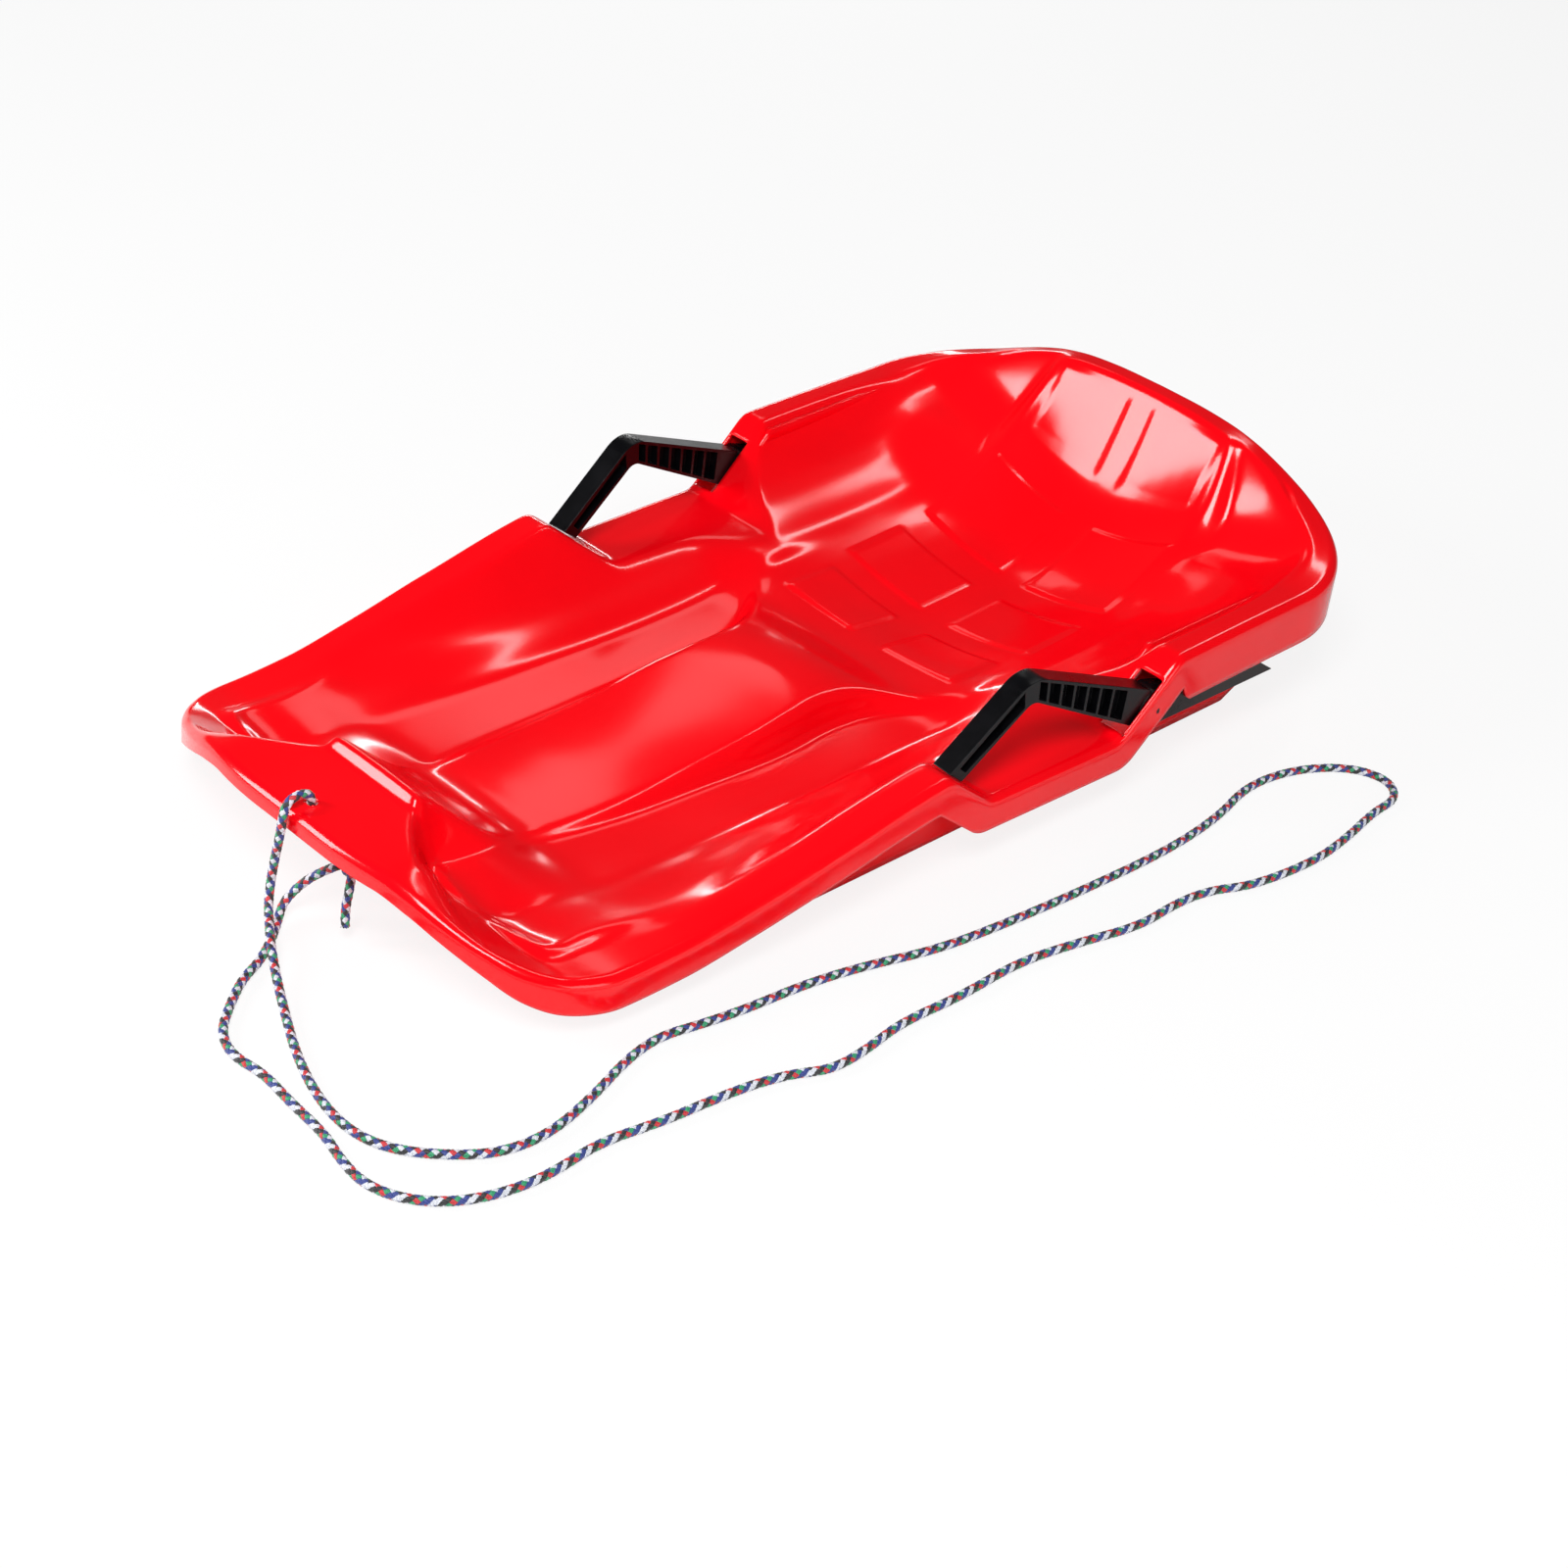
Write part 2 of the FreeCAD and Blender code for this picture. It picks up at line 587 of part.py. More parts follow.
def brake_lever(name, side):
    body = doc.addObject("PartDesign::Body", name)
    body.Label = name
    splay = -side * size("lever_splay")
    tip_top = grip_end(BEND_TOP_SHARE, GRIP_TOP_SLOPE)
    tip_bottom = grip_end(BEND_BOTTOM_SHARE, GRIP_BOTTOM_SLOPE)
    outline = [tip_top, BEND_TOP_SHARE, ROOT_TOP_SHARE, ROOT_BOTTOM_SHARE, BEND_BOTTOM_SHARE, tip_bottom]
    cells = lever_cells(tip_top, tip_bottom)
    frame = side_sketch(body, name + "_frame", [outline] + cells, splay)
    side_pad(body, name + "_frame_pad", frame, "Sizes.lever_width")
    web = side_sketch(body, name + "_web", [outline], splay)
    arm = side_pad(body, name + "_web_pad", web, "Sizes.lever_web")
    for label, corner, share in (("top", BEND_TOP_SHARE, 0.12), ("under", BEND_BOTTOM_SHARE, 0.055)):
        doc.recompute()
        fillet = body.newObject("PartDesign::Fillet", "%s_%s_bend" % (name, label))
        fillet.Base = (arm, bend_edges(arm.Shape, corner, splay))
        fillet.setExpression("Radius", "%.3f * Sizes.lever_reach" % share)
        arm = fillet
    blade = side_sketch(body, name + "_blade", [BLADE_SHARES], 0)
    side_pad(body, name + "_blade_pad", blade, "Sizes.lever_width")
    hub = round_sketch(body, name + "_hub", "Sizes.hub_radius")
    side_pad(body, name + "_hub_pad", hub, "Sizes.lever_width")
    bore = round_sketch(body, name + "_bore", "Sizes.pin_diameter / 2 + Sizes.pin_clearance")
    pocket = body.newObject("PartDesign::Pocket", name + "_bore_pocket")
    pocket.Profile = bore
    pocket.SideType = "Symmetric"
    pocket.setExpression("Length", "2 * Sizes.lever_width")
    bore.Visibility = False
    across = "(Sizes.hull_width / 2 - Sizes.wall - Sizes.lever_clearance - Sizes.lever_width / 2)"
    body.setExpression("Placement.Base.x", "%d * %s" % (side, across))
    body.setExpression("Placement.Base.y", "Sizes.notch_end - Sizes.pin_setback")
    body.setExpression("Placement.Base.z", "Sizes.notch_height + Sizes.pin_lift")
    return body


def pin_reach():
    # From the inner face of the side wall to the outer face of the skirt.
    half = size("hull_width") / 2
    inner = KEEL_FOOT_SHARE * half
    knee = half - CHANNEL_SHARE * half
    share = pin_centre(1).z / (0.4 * size("back_height"))
    return inner + (knee - inner) * min(share, 1) - size("wall"), half - 0.1 * size("wall")


def pivot_pin(name, side):
    # Plain pin from the inside of the side wall to the outside of the skirt.
    pin = doc.addObject("Part::Cylinder", name)
    pin.Label = name
    inner_x, outer_x = pin_reach()
    pin.Placement = Placement(Vector(), Rotation(Vector(0, 1, 0), 90))
    pin.setExpression("Radius", "Sizes.pin_diameter / 2")
    pin.Height = outer_x - inner_x
    pin.setExpression("Placement.Base.y", "Sizes.notch_end - Sizes.pin_setback")
    pin.setExpression("Placement.Base.z", "Sizes.notch_height + Sizes.pin_lift")
    pin.setExpression("Placement.Base.x", "%.3f" % (inner_x if side > 0 else -outer_x))
    return pin


KNOT_PLACE = (26, -367, 46)
# The tow rope's route, a hand-set list of x, y and z: out of the knot, up
# through the hole, over the nose, along the snow and back under the lip.
ROPE_ROUTE = [
    (23, -368, 55), (12, -373, 63), (0, -380, 72), (0, -380, 90), (0, -399, 90), (-1, -401, 70),
    (-7, -401, 46), (-10, -402, 26), (-5, -407, 14), (7, -415, 13), (25, -427, 13), (46, -438, 6),
    (74, -452, 3), (108, -469, 3), (146, -482, 3), (178, -485, 3), (203, -477, 3),
    (225, -457, 3), (243, -431, 3), (247, -398, 3), (237, -358, 3), (224, -322, 3),
    (219, -292, 3), (226, -262, 3), (231, -231, 3), (235, -185, 3), (244, -143, 3),
    (259, -95, 3), (266, -38, 3), (271, 25, 3), (275, 107, 3), (270, 168, 3), (258, 212, 3),
    (262, 252, 3), (277, 284, 3), (296, 301, 3), (316, 303, 3), (330, 288, 3), (330, 263, 3),
    (338, 222, 3), (342, 181, 3), (335, 125, 3), (321, 96, 3), (317, 66, 3), (319, 28, 3),
    (307, -18, 3), (298, -64, 3), (300, -118, 3), (296, -167, 3), (302, -205, 3),
    (302, -232, 3), (291, -253, 3), (284, -279, 3), (280, -310, 3), (277, -341, 3),
    (269, -382, 3), (273, -420, 3), (269, -451, 3), (258, -477, 3), (240, -496, 3),
    (218, -505, 3), (195, -503, 3), (172, -497, 3), (140, -496, 3), (110, -493, 3),
    (87, -498, 3), (66, -491, 3), (49, -473, 3), (33, -453, 3), (25, -435, 3), (12, -417, 3),
    (0, -404, 3.5), (-7, -395, 10), (-4, -386, 20), (5, -379, 32), (17, -372, 42),
]
TAIL_ROUTE = [(30, -372, 44), (33, -376, 34), (32, -378, 22), (35, -380, 11)]
# A cord's section and a knot's turns have straight sides, to stay light.
CORD_SIDES = 6
KNOT_SIDES = 12
# Degrees by which the section is turned, so that a flat side lies on the snow.
CORD_TURN = 7
KNOT_LEAN = 8
# One turn of the knot in side view: shares of its radius and height.
KNOT_TURN_SHARES = [(0.80, -0.155), (0.95, -0.09), (1.0, 0.0), (0.95, 0.09), (0.80, 0.155)]


def cord_path(route):
    # Straight runs joined by tangent arcs, each as large as its two runs allow.
    points = [Vector(*place) for place in route]
    edges = []
    radii = []
    at = points[0]
    for last, point, after in zip(points, points[1:], points[2:]):
        back, ahead = last - point, after - point
        half_turn = (math.pi - back.getAngle(ahead)) / 2
        cut = 0.45 * min(back.Length, ahead.Length)
        radii.append(cut / math.tan(half_turn))
        back.normalize()
        ahead.normalize()
        inward = (back + ahead).normalize()
        depth = radii[-1] * (1 / math.cos(half_turn) - 1)
        start, end = point + back * cut, point + ahead * cut
        edges.append(Part.LineSegment(at, start).toShape())
        edges.append(Part.Arc(start, point + inward * depth, end).toShape())
        at = end
    edges.append(Part.LineSegment(at, points[-1]).toShape())
    return Part.Wire(edges), radii


def ring_across(centre, heading, radius, sides):
    # Corners of a ring of straight sides across the heading, with a circle's area.
    turn = 2 * math.pi / sides
    reach = radius * math.sqrt(turn / math.sin(turn))
    across = heading.cross(Vector(0, 1, 0)).normalize()
    up = across.cross(heading).normalize()
    corners = []
    for k in range(sides):
        angle = math.radians(CORD_TURN) + k * turn
        corners.append(centre + across * (reach * math.cos(angle)) + up * (reach * math.sin(angle)))
    return corners + corners[:1]


def cord_tube(name, route):
    path, radii = cord_path(route)
    radius = size("rope_diameter") / 2
    heading = path.Edges[0].tangentAt(path.Edges[0].FirstParameter)
    start = ring_across(Vector(*route[0]), heading, radius, CORD_SIDES)
    tube = path.makePipeShell([Part.makePolygon(start)], True, False)
    print(name, "length", round(path.Length), "radii", [round(r) for r in radii])
    print(name, "volume over section by length", tube.Volume / (math.pi * radius ** 2 * path.Length))
    return tube


def knot_shape(cords):
    # Three turns of rope drawn tight around the standing parts, leaning a little.
    profile = [(0.6, -0.5)]
    for turn in (-1, 0, 1):
        profile += [(radius, turn / 3 + height) for radius, height in KNOT_TURN_SHARES]
    profile.append((0.6, 0.5))
    rings = []
    for radius, height in profile:
        centre = Vector(0, 0, height * size("knot_height"))
        rings.append(ring_across(centre, Vector(0, 0, 1), radius * size("knot_radius"), KNOT_SIDES))
    ends = [Part.Face(Part.makePolygon(ring)) for ring in (rings[0], rings[-1])]
    knot = solid_from(flat_sheets(rings) + ends)
    knot.Placement = Placement(Vector(*KNOT_PLACE), Rotation(Vector(1, 1, 0), KNOT_LEAN))
    return knot.cut(cords)


def shaped(name, shape):
    item = doc.addObject("Part::Feature", name)
    item.Label = name
    item.Shape = shape
    return item


tow_rope = cord_tube("tow_rope", ROPE_ROUTE)
rope_tail = cord_tube("rope_tail", TAIL_ROUTE)
nodes = [
    shaped("hull", hull_shape()),
    brake_lever("brake_lever_left", 1),
    brake_lever("brake_lever_right", -1),
    pivot_pin("pivot_pin_left", 1),
    pivot_pin("pivot_pin_right", -1),
    shaped("tow_rope", tow_rope),
    shaped("rope_tail", rope_tail),
    shaped("rope_knot", knot_shape([tow_rope, rope_tail])),
]
doc.recompute()

for item in doc.Objects:
    if "Invalid" in item.State or "Error" in item.State:
        raise RuntimeError("%s: %s" % (item.Name, item.State))
for item in nodes:
    shape = item.Shape
    if shape.isNull() or not shape.isValid() or len(shape.Solids) != 1:
        raise RuntimeError("%s isn't one valid solid" % item.Label)
    box = shape.optimalBoundingBox(False)
    print(item.Label, "volume", round(shape.Volume), "box", box)
    shape.exportStep("parts/%s.step" % item.Label)
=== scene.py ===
import math

import bmesh
import bpy
import numpy as np
from mathutils import Matrix, Vector


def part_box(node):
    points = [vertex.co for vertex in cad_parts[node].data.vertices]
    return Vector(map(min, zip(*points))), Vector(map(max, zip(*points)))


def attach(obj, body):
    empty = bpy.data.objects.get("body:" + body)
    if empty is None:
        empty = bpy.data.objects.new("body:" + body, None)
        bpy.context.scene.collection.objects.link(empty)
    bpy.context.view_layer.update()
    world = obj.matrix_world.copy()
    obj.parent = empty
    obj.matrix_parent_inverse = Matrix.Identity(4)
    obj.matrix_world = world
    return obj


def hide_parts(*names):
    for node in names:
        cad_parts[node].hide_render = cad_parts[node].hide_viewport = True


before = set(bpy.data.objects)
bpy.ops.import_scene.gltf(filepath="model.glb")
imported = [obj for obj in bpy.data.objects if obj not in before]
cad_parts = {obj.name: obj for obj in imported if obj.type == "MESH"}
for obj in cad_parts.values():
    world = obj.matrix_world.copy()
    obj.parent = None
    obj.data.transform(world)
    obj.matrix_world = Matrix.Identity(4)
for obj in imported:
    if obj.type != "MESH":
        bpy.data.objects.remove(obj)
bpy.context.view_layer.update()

MM = 0.001

# Camera, worked out from the photo: places in metres, focus in the photo's pixels
PHOTO_SIZE = 1600
CAMERA_FOCUS = 3000
CAMERA_PLACE = (1.1639, -1.2552, 1.0736)
CAMERA_RIGHT = (0.69133, 0.71534, 0.10179)
CAMERA_UP = (-0.45570, 0.32234, 0.82972)
CAMERA_BACK = (0.56072, -0.61999, 0.54882)
SENSOR_WIDTH = 36
CAMERA_CLIP_END = 50

# Rope's routes, as in the source, in millimetres
ROPE_DIAMETER = 6
ROPE_ROUTE = [
    (23, -368, 55), (12, -373, 63), (0, -380, 72), (0, -380, 90), (0, -399, 90), (-1, -401, 70),
    (-7, -401, 46), (-10, -402, 26), (-5, -407, 14), (7, -415, 13), (25, -427, 13), (46, -438, 6),
    (74, -452, 3), (108, -469, 3), (146, -482, 3), (178, -485, 3), (203, -477, 3),
    (225, -457, 3), (243, -431, 3), (247, -398, 3), (237, -358, 3), (224, -322, 3),
    (219, -292, 3), (226, -262, 3), (231, -231, 3), (235, -185, 3), (244, -143, 3),
    (259, -95, 3), (266, -38, 3), (271, 25, 3), (275, 107, 3), (270, 168, 3), (258, 212, 3),
    (262, 252, 3), (277, 284, 3), (296, 301, 3), (316, 303, 3), (330, 288, 3), (330, 263, 3),
    (338, 222, 3), (342, 181, 3), (335, 125, 3), (321, 96, 3), (317, 66, 3), (319, 28, 3),
    (307, -18, 3), (298, -64, 3), (300, -118, 3), (296, -167, 3), (302, -205, 3),
    (302, -232, 3), (291, -253, 3), (284, -279, 3), (280, -310, 3), (277, -341, 3),
    (269, -382, 3), (273, -420, 3), (269, -451, 3), (258, -477, 3), (240, -496, 3),
    (218, -505, 3), (195, -503, 3), (172, -497, 3), (140, -496, 3), (110, -493, 3),
    (87, -498, 3), (66, -491, 3), (49, -473, 3), (33, -453, 3), (25, -435, 3), (12, -417, 3),
    (0, -404, 3.5), (-7, -395, 10), (-4, -386, 20), (5, -379, 32), (17, -372, 42),
]
TAIL_ROUTE = [(30, -372, 44), (33, -376, 34), (32, -378, 22), (35, -380, 11)]
KNOT_PLACE = (26, -367, 46)


# Camera

def add_camera():
    data = bpy.data.cameras.new("camera")
    data.sensor_width = SENSOR_WIDTH
    data.lens = CAMERA_FOCUS / PHOTO_SIZE * SENSOR_WIDTH
    data.clip_end = CAMERA_CLIP_END
    camera = bpy.data.objects.new("camera", data)
    bpy.context.scene.collection.objects.link(camera)
    axes = Matrix((CAMERA_RIGHT, CAMERA_UP, CAMERA_BACK)).transposed().to_4x4()
    camera.matrix_world = Matrix.Translation(CAMERA_PLACE) @ axes
    bpy.context.scene.camera = camera


# Mesh helpers

def new_object(name, verts, faces, materials, face_slots=None):
    mesh = bpy.data.meshes.new(name)
    mesh.from_pydata([tuple(v) for v in verts], [], [tuple(f) for f in faces])
    mesh.update()
    mesh.polygons.foreach_set("use_smooth", [True] * len(mesh.polygons))
    if face_slots is not None:
        mesh.polygons.foreach_set("material_index", [int(s) for s in face_slots])
    for material in materials:
        mesh.materials.append(material)
    thing = bpy.data.objects.new(name, mesh)
    bpy.context.scene.collection.objects.link(thing)
    return thing


def grid_faces(rows, columns, closed=False):
    # Quads of a grid of points, wrapped across its columns if closed.
    last = columns if closed else columns - 1
    r, c = np.meshgrid(np.arange(rows - 1), np.arange(last), indexing="ij")
    a, b = r * columns + c, r * columns + (c + 1) % columns
    return np.stack([a, b, b + columns, a + columns], axis=-1).reshape(-1, 4)


# Materials

RAMP_LOW = 0.3
RAMP_HIGH = 0.7


def new_material(name):
    material = bpy.data.materials.new(name)
    material.use_nodes = True
    nodes = material.node_tree.nodes
    return material, nodes, material.node_tree.links, nodes["Principled BSDF"]


def noise(nodes, links, scale, detail=3.0, stretch=(1, 1, 1)):
    place = nodes.new("ShaderNodeTexCoord")
    mapping = nodes.new("ShaderNodeMapping")
    mapping.inputs["Scale"].default_value = stretch
    texture = nodes.new("ShaderNodeTexNoise")
    texture.inputs["Scale"].default_value = scale
    texture.inputs["Detail"].default_value = detail
    links.new(place.outputs["Object"], mapping.inputs["Vector"])
    links.new(mapping.outputs["Vector"], texture.inputs["Vector"])
    return texture


def vary_colour(nodes, links, texture, shader, low, high):
    ramp = nodes.new("ShaderNodeValToRGB")
    dark, light = ramp.color_ramp.elements
    dark.position, light.position = RAMP_LOW, RAMP_HIGH
    dark.color, light.color = (*low, 1), (*high, 1)
    links.new(texture.outputs["Fac"], ramp.inputs["Fac"])
    links.new(ramp.outputs["Color"], shader.inputs["Base Color"])


def vary_roughness(nodes, links, texture, shader, low, high):
    spread = nodes.new("ShaderNodeMapRange")
    spread.inputs["To Min"].default_value = low
    spread.inputs["To Max"].default_value = high
    links.new(texture.outputs["Fac"], spread.inputs["Value"])
    links.new(spread.outputs["Result"], shader.inputs["Roughness"])


def add_bump(nodes, links, texture, shader, strength, distance):
    bump = nodes.new("ShaderNodeBump")
    bump.inputs["Strength"].default_value = strength
    bump.inputs["Distance"].default_value = distance
    links.new(texture.outputs["Fac"], bump.inputs["Height"])
    links.new(bump.outputs["Normal"], shader.inputs["Normal"])


def hull_material():
    # Glossy moulded plastic: slow drifts of its red, and a fine grain in its gloss.
    material, nodes, links, shader = new_material("hull_red_plastic")
    waves = noise(nodes, links, 9.0)
    grain = noise(nodes, links, 420.0, 2.0)
    vary_colour(nodes, links, waves, shader, (0.86, 0.0, 0.004), (0.93, 0.001, 0.006))
    vary_roughness(nodes, links, grain, shader, 0.10, 0.15)
    add_bump(nodes, links, grain, shader, 0.04, 0.0003)
    shader.inputs["IOR"].default_value = 1.42
    return material


def lever_material():
    # Satin black plastic with a fine moulded grain.
    material, nodes, links, shader = new_material("lever_black_plastic")
    spread = noise(nodes, links, 60.0)
    grain = noise(nodes, links, 1800.0, 2.0)
    vary_colour(nodes, links, spread, shader, (0.001, 0.001, 0.0015), (0.003, 0.003, 0.004))
    vary_roughness(nodes, links, spread, shader, 0.24, 0.34)
    shader.inputs["IOR"].default_value = 1.3
    add_bump(nodes, links, grain, shader, 0.25, 0.0002)
    return material


def pin_material():
    # Dark steel, brushed along the pin.
    material, nodes, links, shader = new_material("pin_dark_steel")
    brushed = noise(nodes, links, 500.0, 2.0, (1, 30, 30))
    vary_colour(nodes, links, brushed, shader, (0.02, 0.02, 0.02), (0.05, 0.05, 0.05))
    vary_roughness(nodes, links, brushed, shader, 0.30, 0.45)
    add_bump(nodes, links, brushed, shader, 0.2, 0.0001)
    shader.inputs["Metallic"].default_value = 1.0
    return material


def yarn_material(name, colour):
    # Fine filaments of one yarn of the rope's braid, in a darker and a paler tone.
    material, nodes, links, shader = new_material("rope_yarn_" + name)
    fibres = noise(nodes, links, 1500.0, 3.0, (1, 1, 0.4))
    pale = tuple(min(c * 1.3 + 0.02, 1) for c in colour)
    vary_colour(nodes, links, fibres, shader, tuple(c * 0.75 for c in colour), pale)
    vary_roughness(nodes, links, fibres, shader, 0.45, 0.65)
    add_bump(nodes, links, fibres, shader, 0.5, 0.0003)
    shader.inputs["Sheen Weight"].default_value = 0.2
    return material


YARN_COLOURS = {
    "white": (0.58, 0.60, 0.66),
    "navy": (0.012, 0.030, 0.20),
    "green": (0.01, 0.26, 0.11),
    "red": (0.50, 0.012, 0.02),
    "black": (0.008, 0.009, 0.012),
}
# Yarns in turn: one way round the rope, then the other way.
YARNS = ["navy", "white", "black", "red", "navy", "green", "black", "white"]
# The braid, in millimetres: its lay, each yarn's section and its weave in and out.
BRAID_PITCH = 19
YARN_WIDE = 2.9
YARN_THICK = 1.1
YARN_SIDES = 8
WEAVE_DEPTH = 0.3
WEAVES_PER_TURN = 4
RING_STEP = 1.3
SPLINE_STEPS = 12

# The knot, in millimetres: turns round the standing parts and how they lie.
KNOT_TURNS = 3.1
KNOT_POINTS = 90
KNOT_RADIUS = 4.9
KNOT_HALF_HEIGHT = 5.6
KNOT_LEAN = 1.1


# Rope

def route_line(name, route):
    # Points along one smooth spline with the route's points as control points.
    curve = bpy.data.curves.new(name + "_route", "CURVE")
    curve.dimensions = "3D"
    spline = curve.splines.new("NURBS")
    spline.points.add(len(route) - 1)
    for point, place in zip(spline.points, route):
        point.co = (*(c * MM for c in place), 1)
    spline.order_u = 3
    spline.use_endpoint_u = True
    spline.resolution_u = SPLINE_STEPS
    holder = bpy.data.objects.new(name + "_route", curve)
    bpy.context.scene.collection.objects.link(holder)
    mesh = bpy.data.meshes.new_from_object(holder)
    points = np.array([v.co for v in mesh.vertices])
    bpy.data.objects.remove(holder)
    bpy.data.meshes.remove(mesh)
    bpy.data.curves.remove(curve)
    return points


def evenly(points, step):
    lengths = np.concatenate([[0], np.cumsum(np.linalg.norm(np.diff(points, axis=0), axis=1))])
    count = max(int(round(lengths[-1] / step)), 2)
    at = np.linspace(0, lengths[-1], count + 1)
    return np.stack([np.interp(at, lengths, points[:, k]) for k in range(3)], axis=1), at


def carried_axes(points):
    # Tangent and two cross directions along a line, turned as little as possible.
    tangents = np.gradient(points, axis=0)
    tangents /= np.linalg.norm(tangents, axis=1)[:, None]
    side = np.cross(tangents[0], (0.3, 0.2, 0.93))
    sides = []
    for tangent in tangents:
        side = side - tangent * side.dot(tangent)
        side /= np.linalg.norm(side)
        sides.append(side)
    sides = np.array(sides)
    return tangents, sides, np.cross(tangents, sides)


def braid(name, line, materials):
    # Yarns wound both ways round the line, each going over and under the others.
    points, at = evenly(line, RING_STEP * MM)
    tangents, sides, tops = carried_axes(points)
    per_way = len(YARNS) // 2
    middle = (ROPE_DIAMETER - YARN_THICK) / 2 - WEAVE_DEPTH
    around = np.linspace(0, 2 * math.pi, YARN_SIDES, endpoint=False)
    turned = 2 * math.pi * at / (BRAID_PITCH * MM)
    wave = np.sin(WEAVES_PER_TURN * turned)
    verts, faces, slots = [], [], []
    for k in range(len(YARNS)):
        way = 1 if k < per_way else -1
        radius = (middle + way * WEAVE_DEPTH * wave)[:, None] * MM
        turn = 2 * math.pi * (k % per_way) / per_way + way * turned
        turn += 0 if way > 0 else math.pi / per_way
        out = sides * np.cos(turn)[:, None] + tops * np.sin(turn)[:, None]
        centre = points + out * radius
        along = np.gradient(centre, axis=0)
        along /= np.linalg.norm(along, axis=1)[:, None]
        across = np.cross(along, out)
        sideways = np.cos(around)[None, :, None] * YARN_WIDE / 2 * MM
        outwards = np.sin(around)[None, :, None] * YARN_THICK / 2 * MM
        ring = centre[:, None] + across[:, None] * sideways + out[:, None] * outwards
        start = len(verts) * len(points) * YARN_SIDES
        verts.append(ring.reshape(-1, 3))
        tube = grid_faces(len(points), YARN_SIDES, closed=True)
        faces.append(tube + start)
        slots += [k] * len(tube)
    verts = np.concatenate(verts)
    ends = []
    for k in range(len(YARNS)):
        first = k * len(points) * YARN_SIDES
        last = first + (len(points) - 1) * YARN_SIDES
        ends.append(list(range(first, first + YARN_SIDES))[::-1])
        ends.append(list(range(last, last + YARN_SIDES)))
        slots += [k, k]
    all_faces = np.concatenate(faces).tolist() + ends
    return new_object(name, verts, all_faces, [materials[yarn] for yarn in YARNS], slots)


def knot_line():
    # Three drawn turns round the standing parts, with both ends tucked in.
    centre = np.array(KNOT_PLACE) * MM
    turns = np.linspace(0, KNOT_TURNS * 2 * math.pi, KNOT_POINTS)
    rise = np.linspace(-KNOT_HALF_HEIGHT, KNOT_HALF_HEIGHT, KNOT_POINTS)
    # Each end draws in to half the radius over 1.2 radians.
    ring = KNOT_RADIUS * np.minimum(1, np.minimum(turns + 1.2, turns[-1] + 1.2 - turns) / 2.4)
    lean = KNOT_LEAN * np.sin(turns + 0.6)
    places = np.stack([ring * np.cos(turns), ring * np.sin(turns), rise + lean], axis=1)
    return centre + places * MM


def make_rope():
    yarns = {name: yarn_material(name, colour) for name, colour in YARN_COLOURS.items()}
    line = route_line("tow_rope", ROPE_ROUTE)
    rope = braid("tow_rope_braid", line, yarns)
    knot = braid("rope_knot_turns", knot_line(), yarns)
    tail_line = route_line("rope_tail", TAIL_ROUTE)
    tail = braid("rope_tail_braid", tail_line, yarns)
    for piece, node in ((rope, "tow_rope"), (knot, "rope_knot"), (tail, "rope_tail")):
        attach(piece, "sled")
        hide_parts(node)


# Hull, in millimetres. Its stations and shares are the source's, except where the footwells, the
# seat's edge, the nose's middle, the tail's crown and the top row of pads follow the photo more
# closely. Left is +x, and the nose is at -y.

HULL_LENGTH = 794
HULL_WIDTH = 429
NOSE_WIDTH = 408
BACK_HEIGHT = 150
SIDE_HEIGHT = 100.5
WALL = 3.5
NOSE_CORNER = 75
TAIL_CORNER = 82
SKIRT_NOSE = 13
SKIRT_FRONT = 24
SKIRT_REAR = 38
SKIRT_FRONT_SHARES = (-0.494, -0.423)
SKIRT_REAR_SHARES = (0.224, 0.238)
SKIRT_AHEAD = 40
SKIRT_BEHIND = 60
NOTCH_START = -42
NOTCH_FLOOR_START = -2
NOTCH_FLOOR_END = 122
NOTCH_END = 172
NOTCH_HEIGHT = 50
PAD_LIFT = 1.4
RIM_ROUND = 6.5
HOLE_Y = -380
HOLE_RADIUS = 4
HOLE_REACH = 1.2
HALF = HULL_WIDTH / 2

# How softly the rim meets the notch, the notch its own corners, and the tub the rim.
NOTCH_SOFT = 4.0
NOTCH_CORNER_SOFT = 5.0
NOTCH_CORNER_SHARP = 0.01
TUB_SOFT = 5.0
SMOOTHING_PASSES = 2

# The slot for the lever: clear of its outer side, width, and reach before and behind the pin.
SLOT_CLEAR = 1.2
SLOT_WIDTH = 20.4
SLOT_BEFORE_PIN = 30
SLOT_BEHIND_PIN = 1.5

# The skin's grid: columns across half of it, and the last ones' distances from the edge.
SKIN_COLUMNS = 78
SKIN_EDGE_STEPS = (9.0, 7.0, 5.4, 4.0, 2.8, 1.8, 1.0, 0.4, 0.0)
SKIN_LEAST_GAP = 0.008
SKIRT_RINGS = 8
PLAN_STEP = 2.2
JOIN_REACH = 0.00002

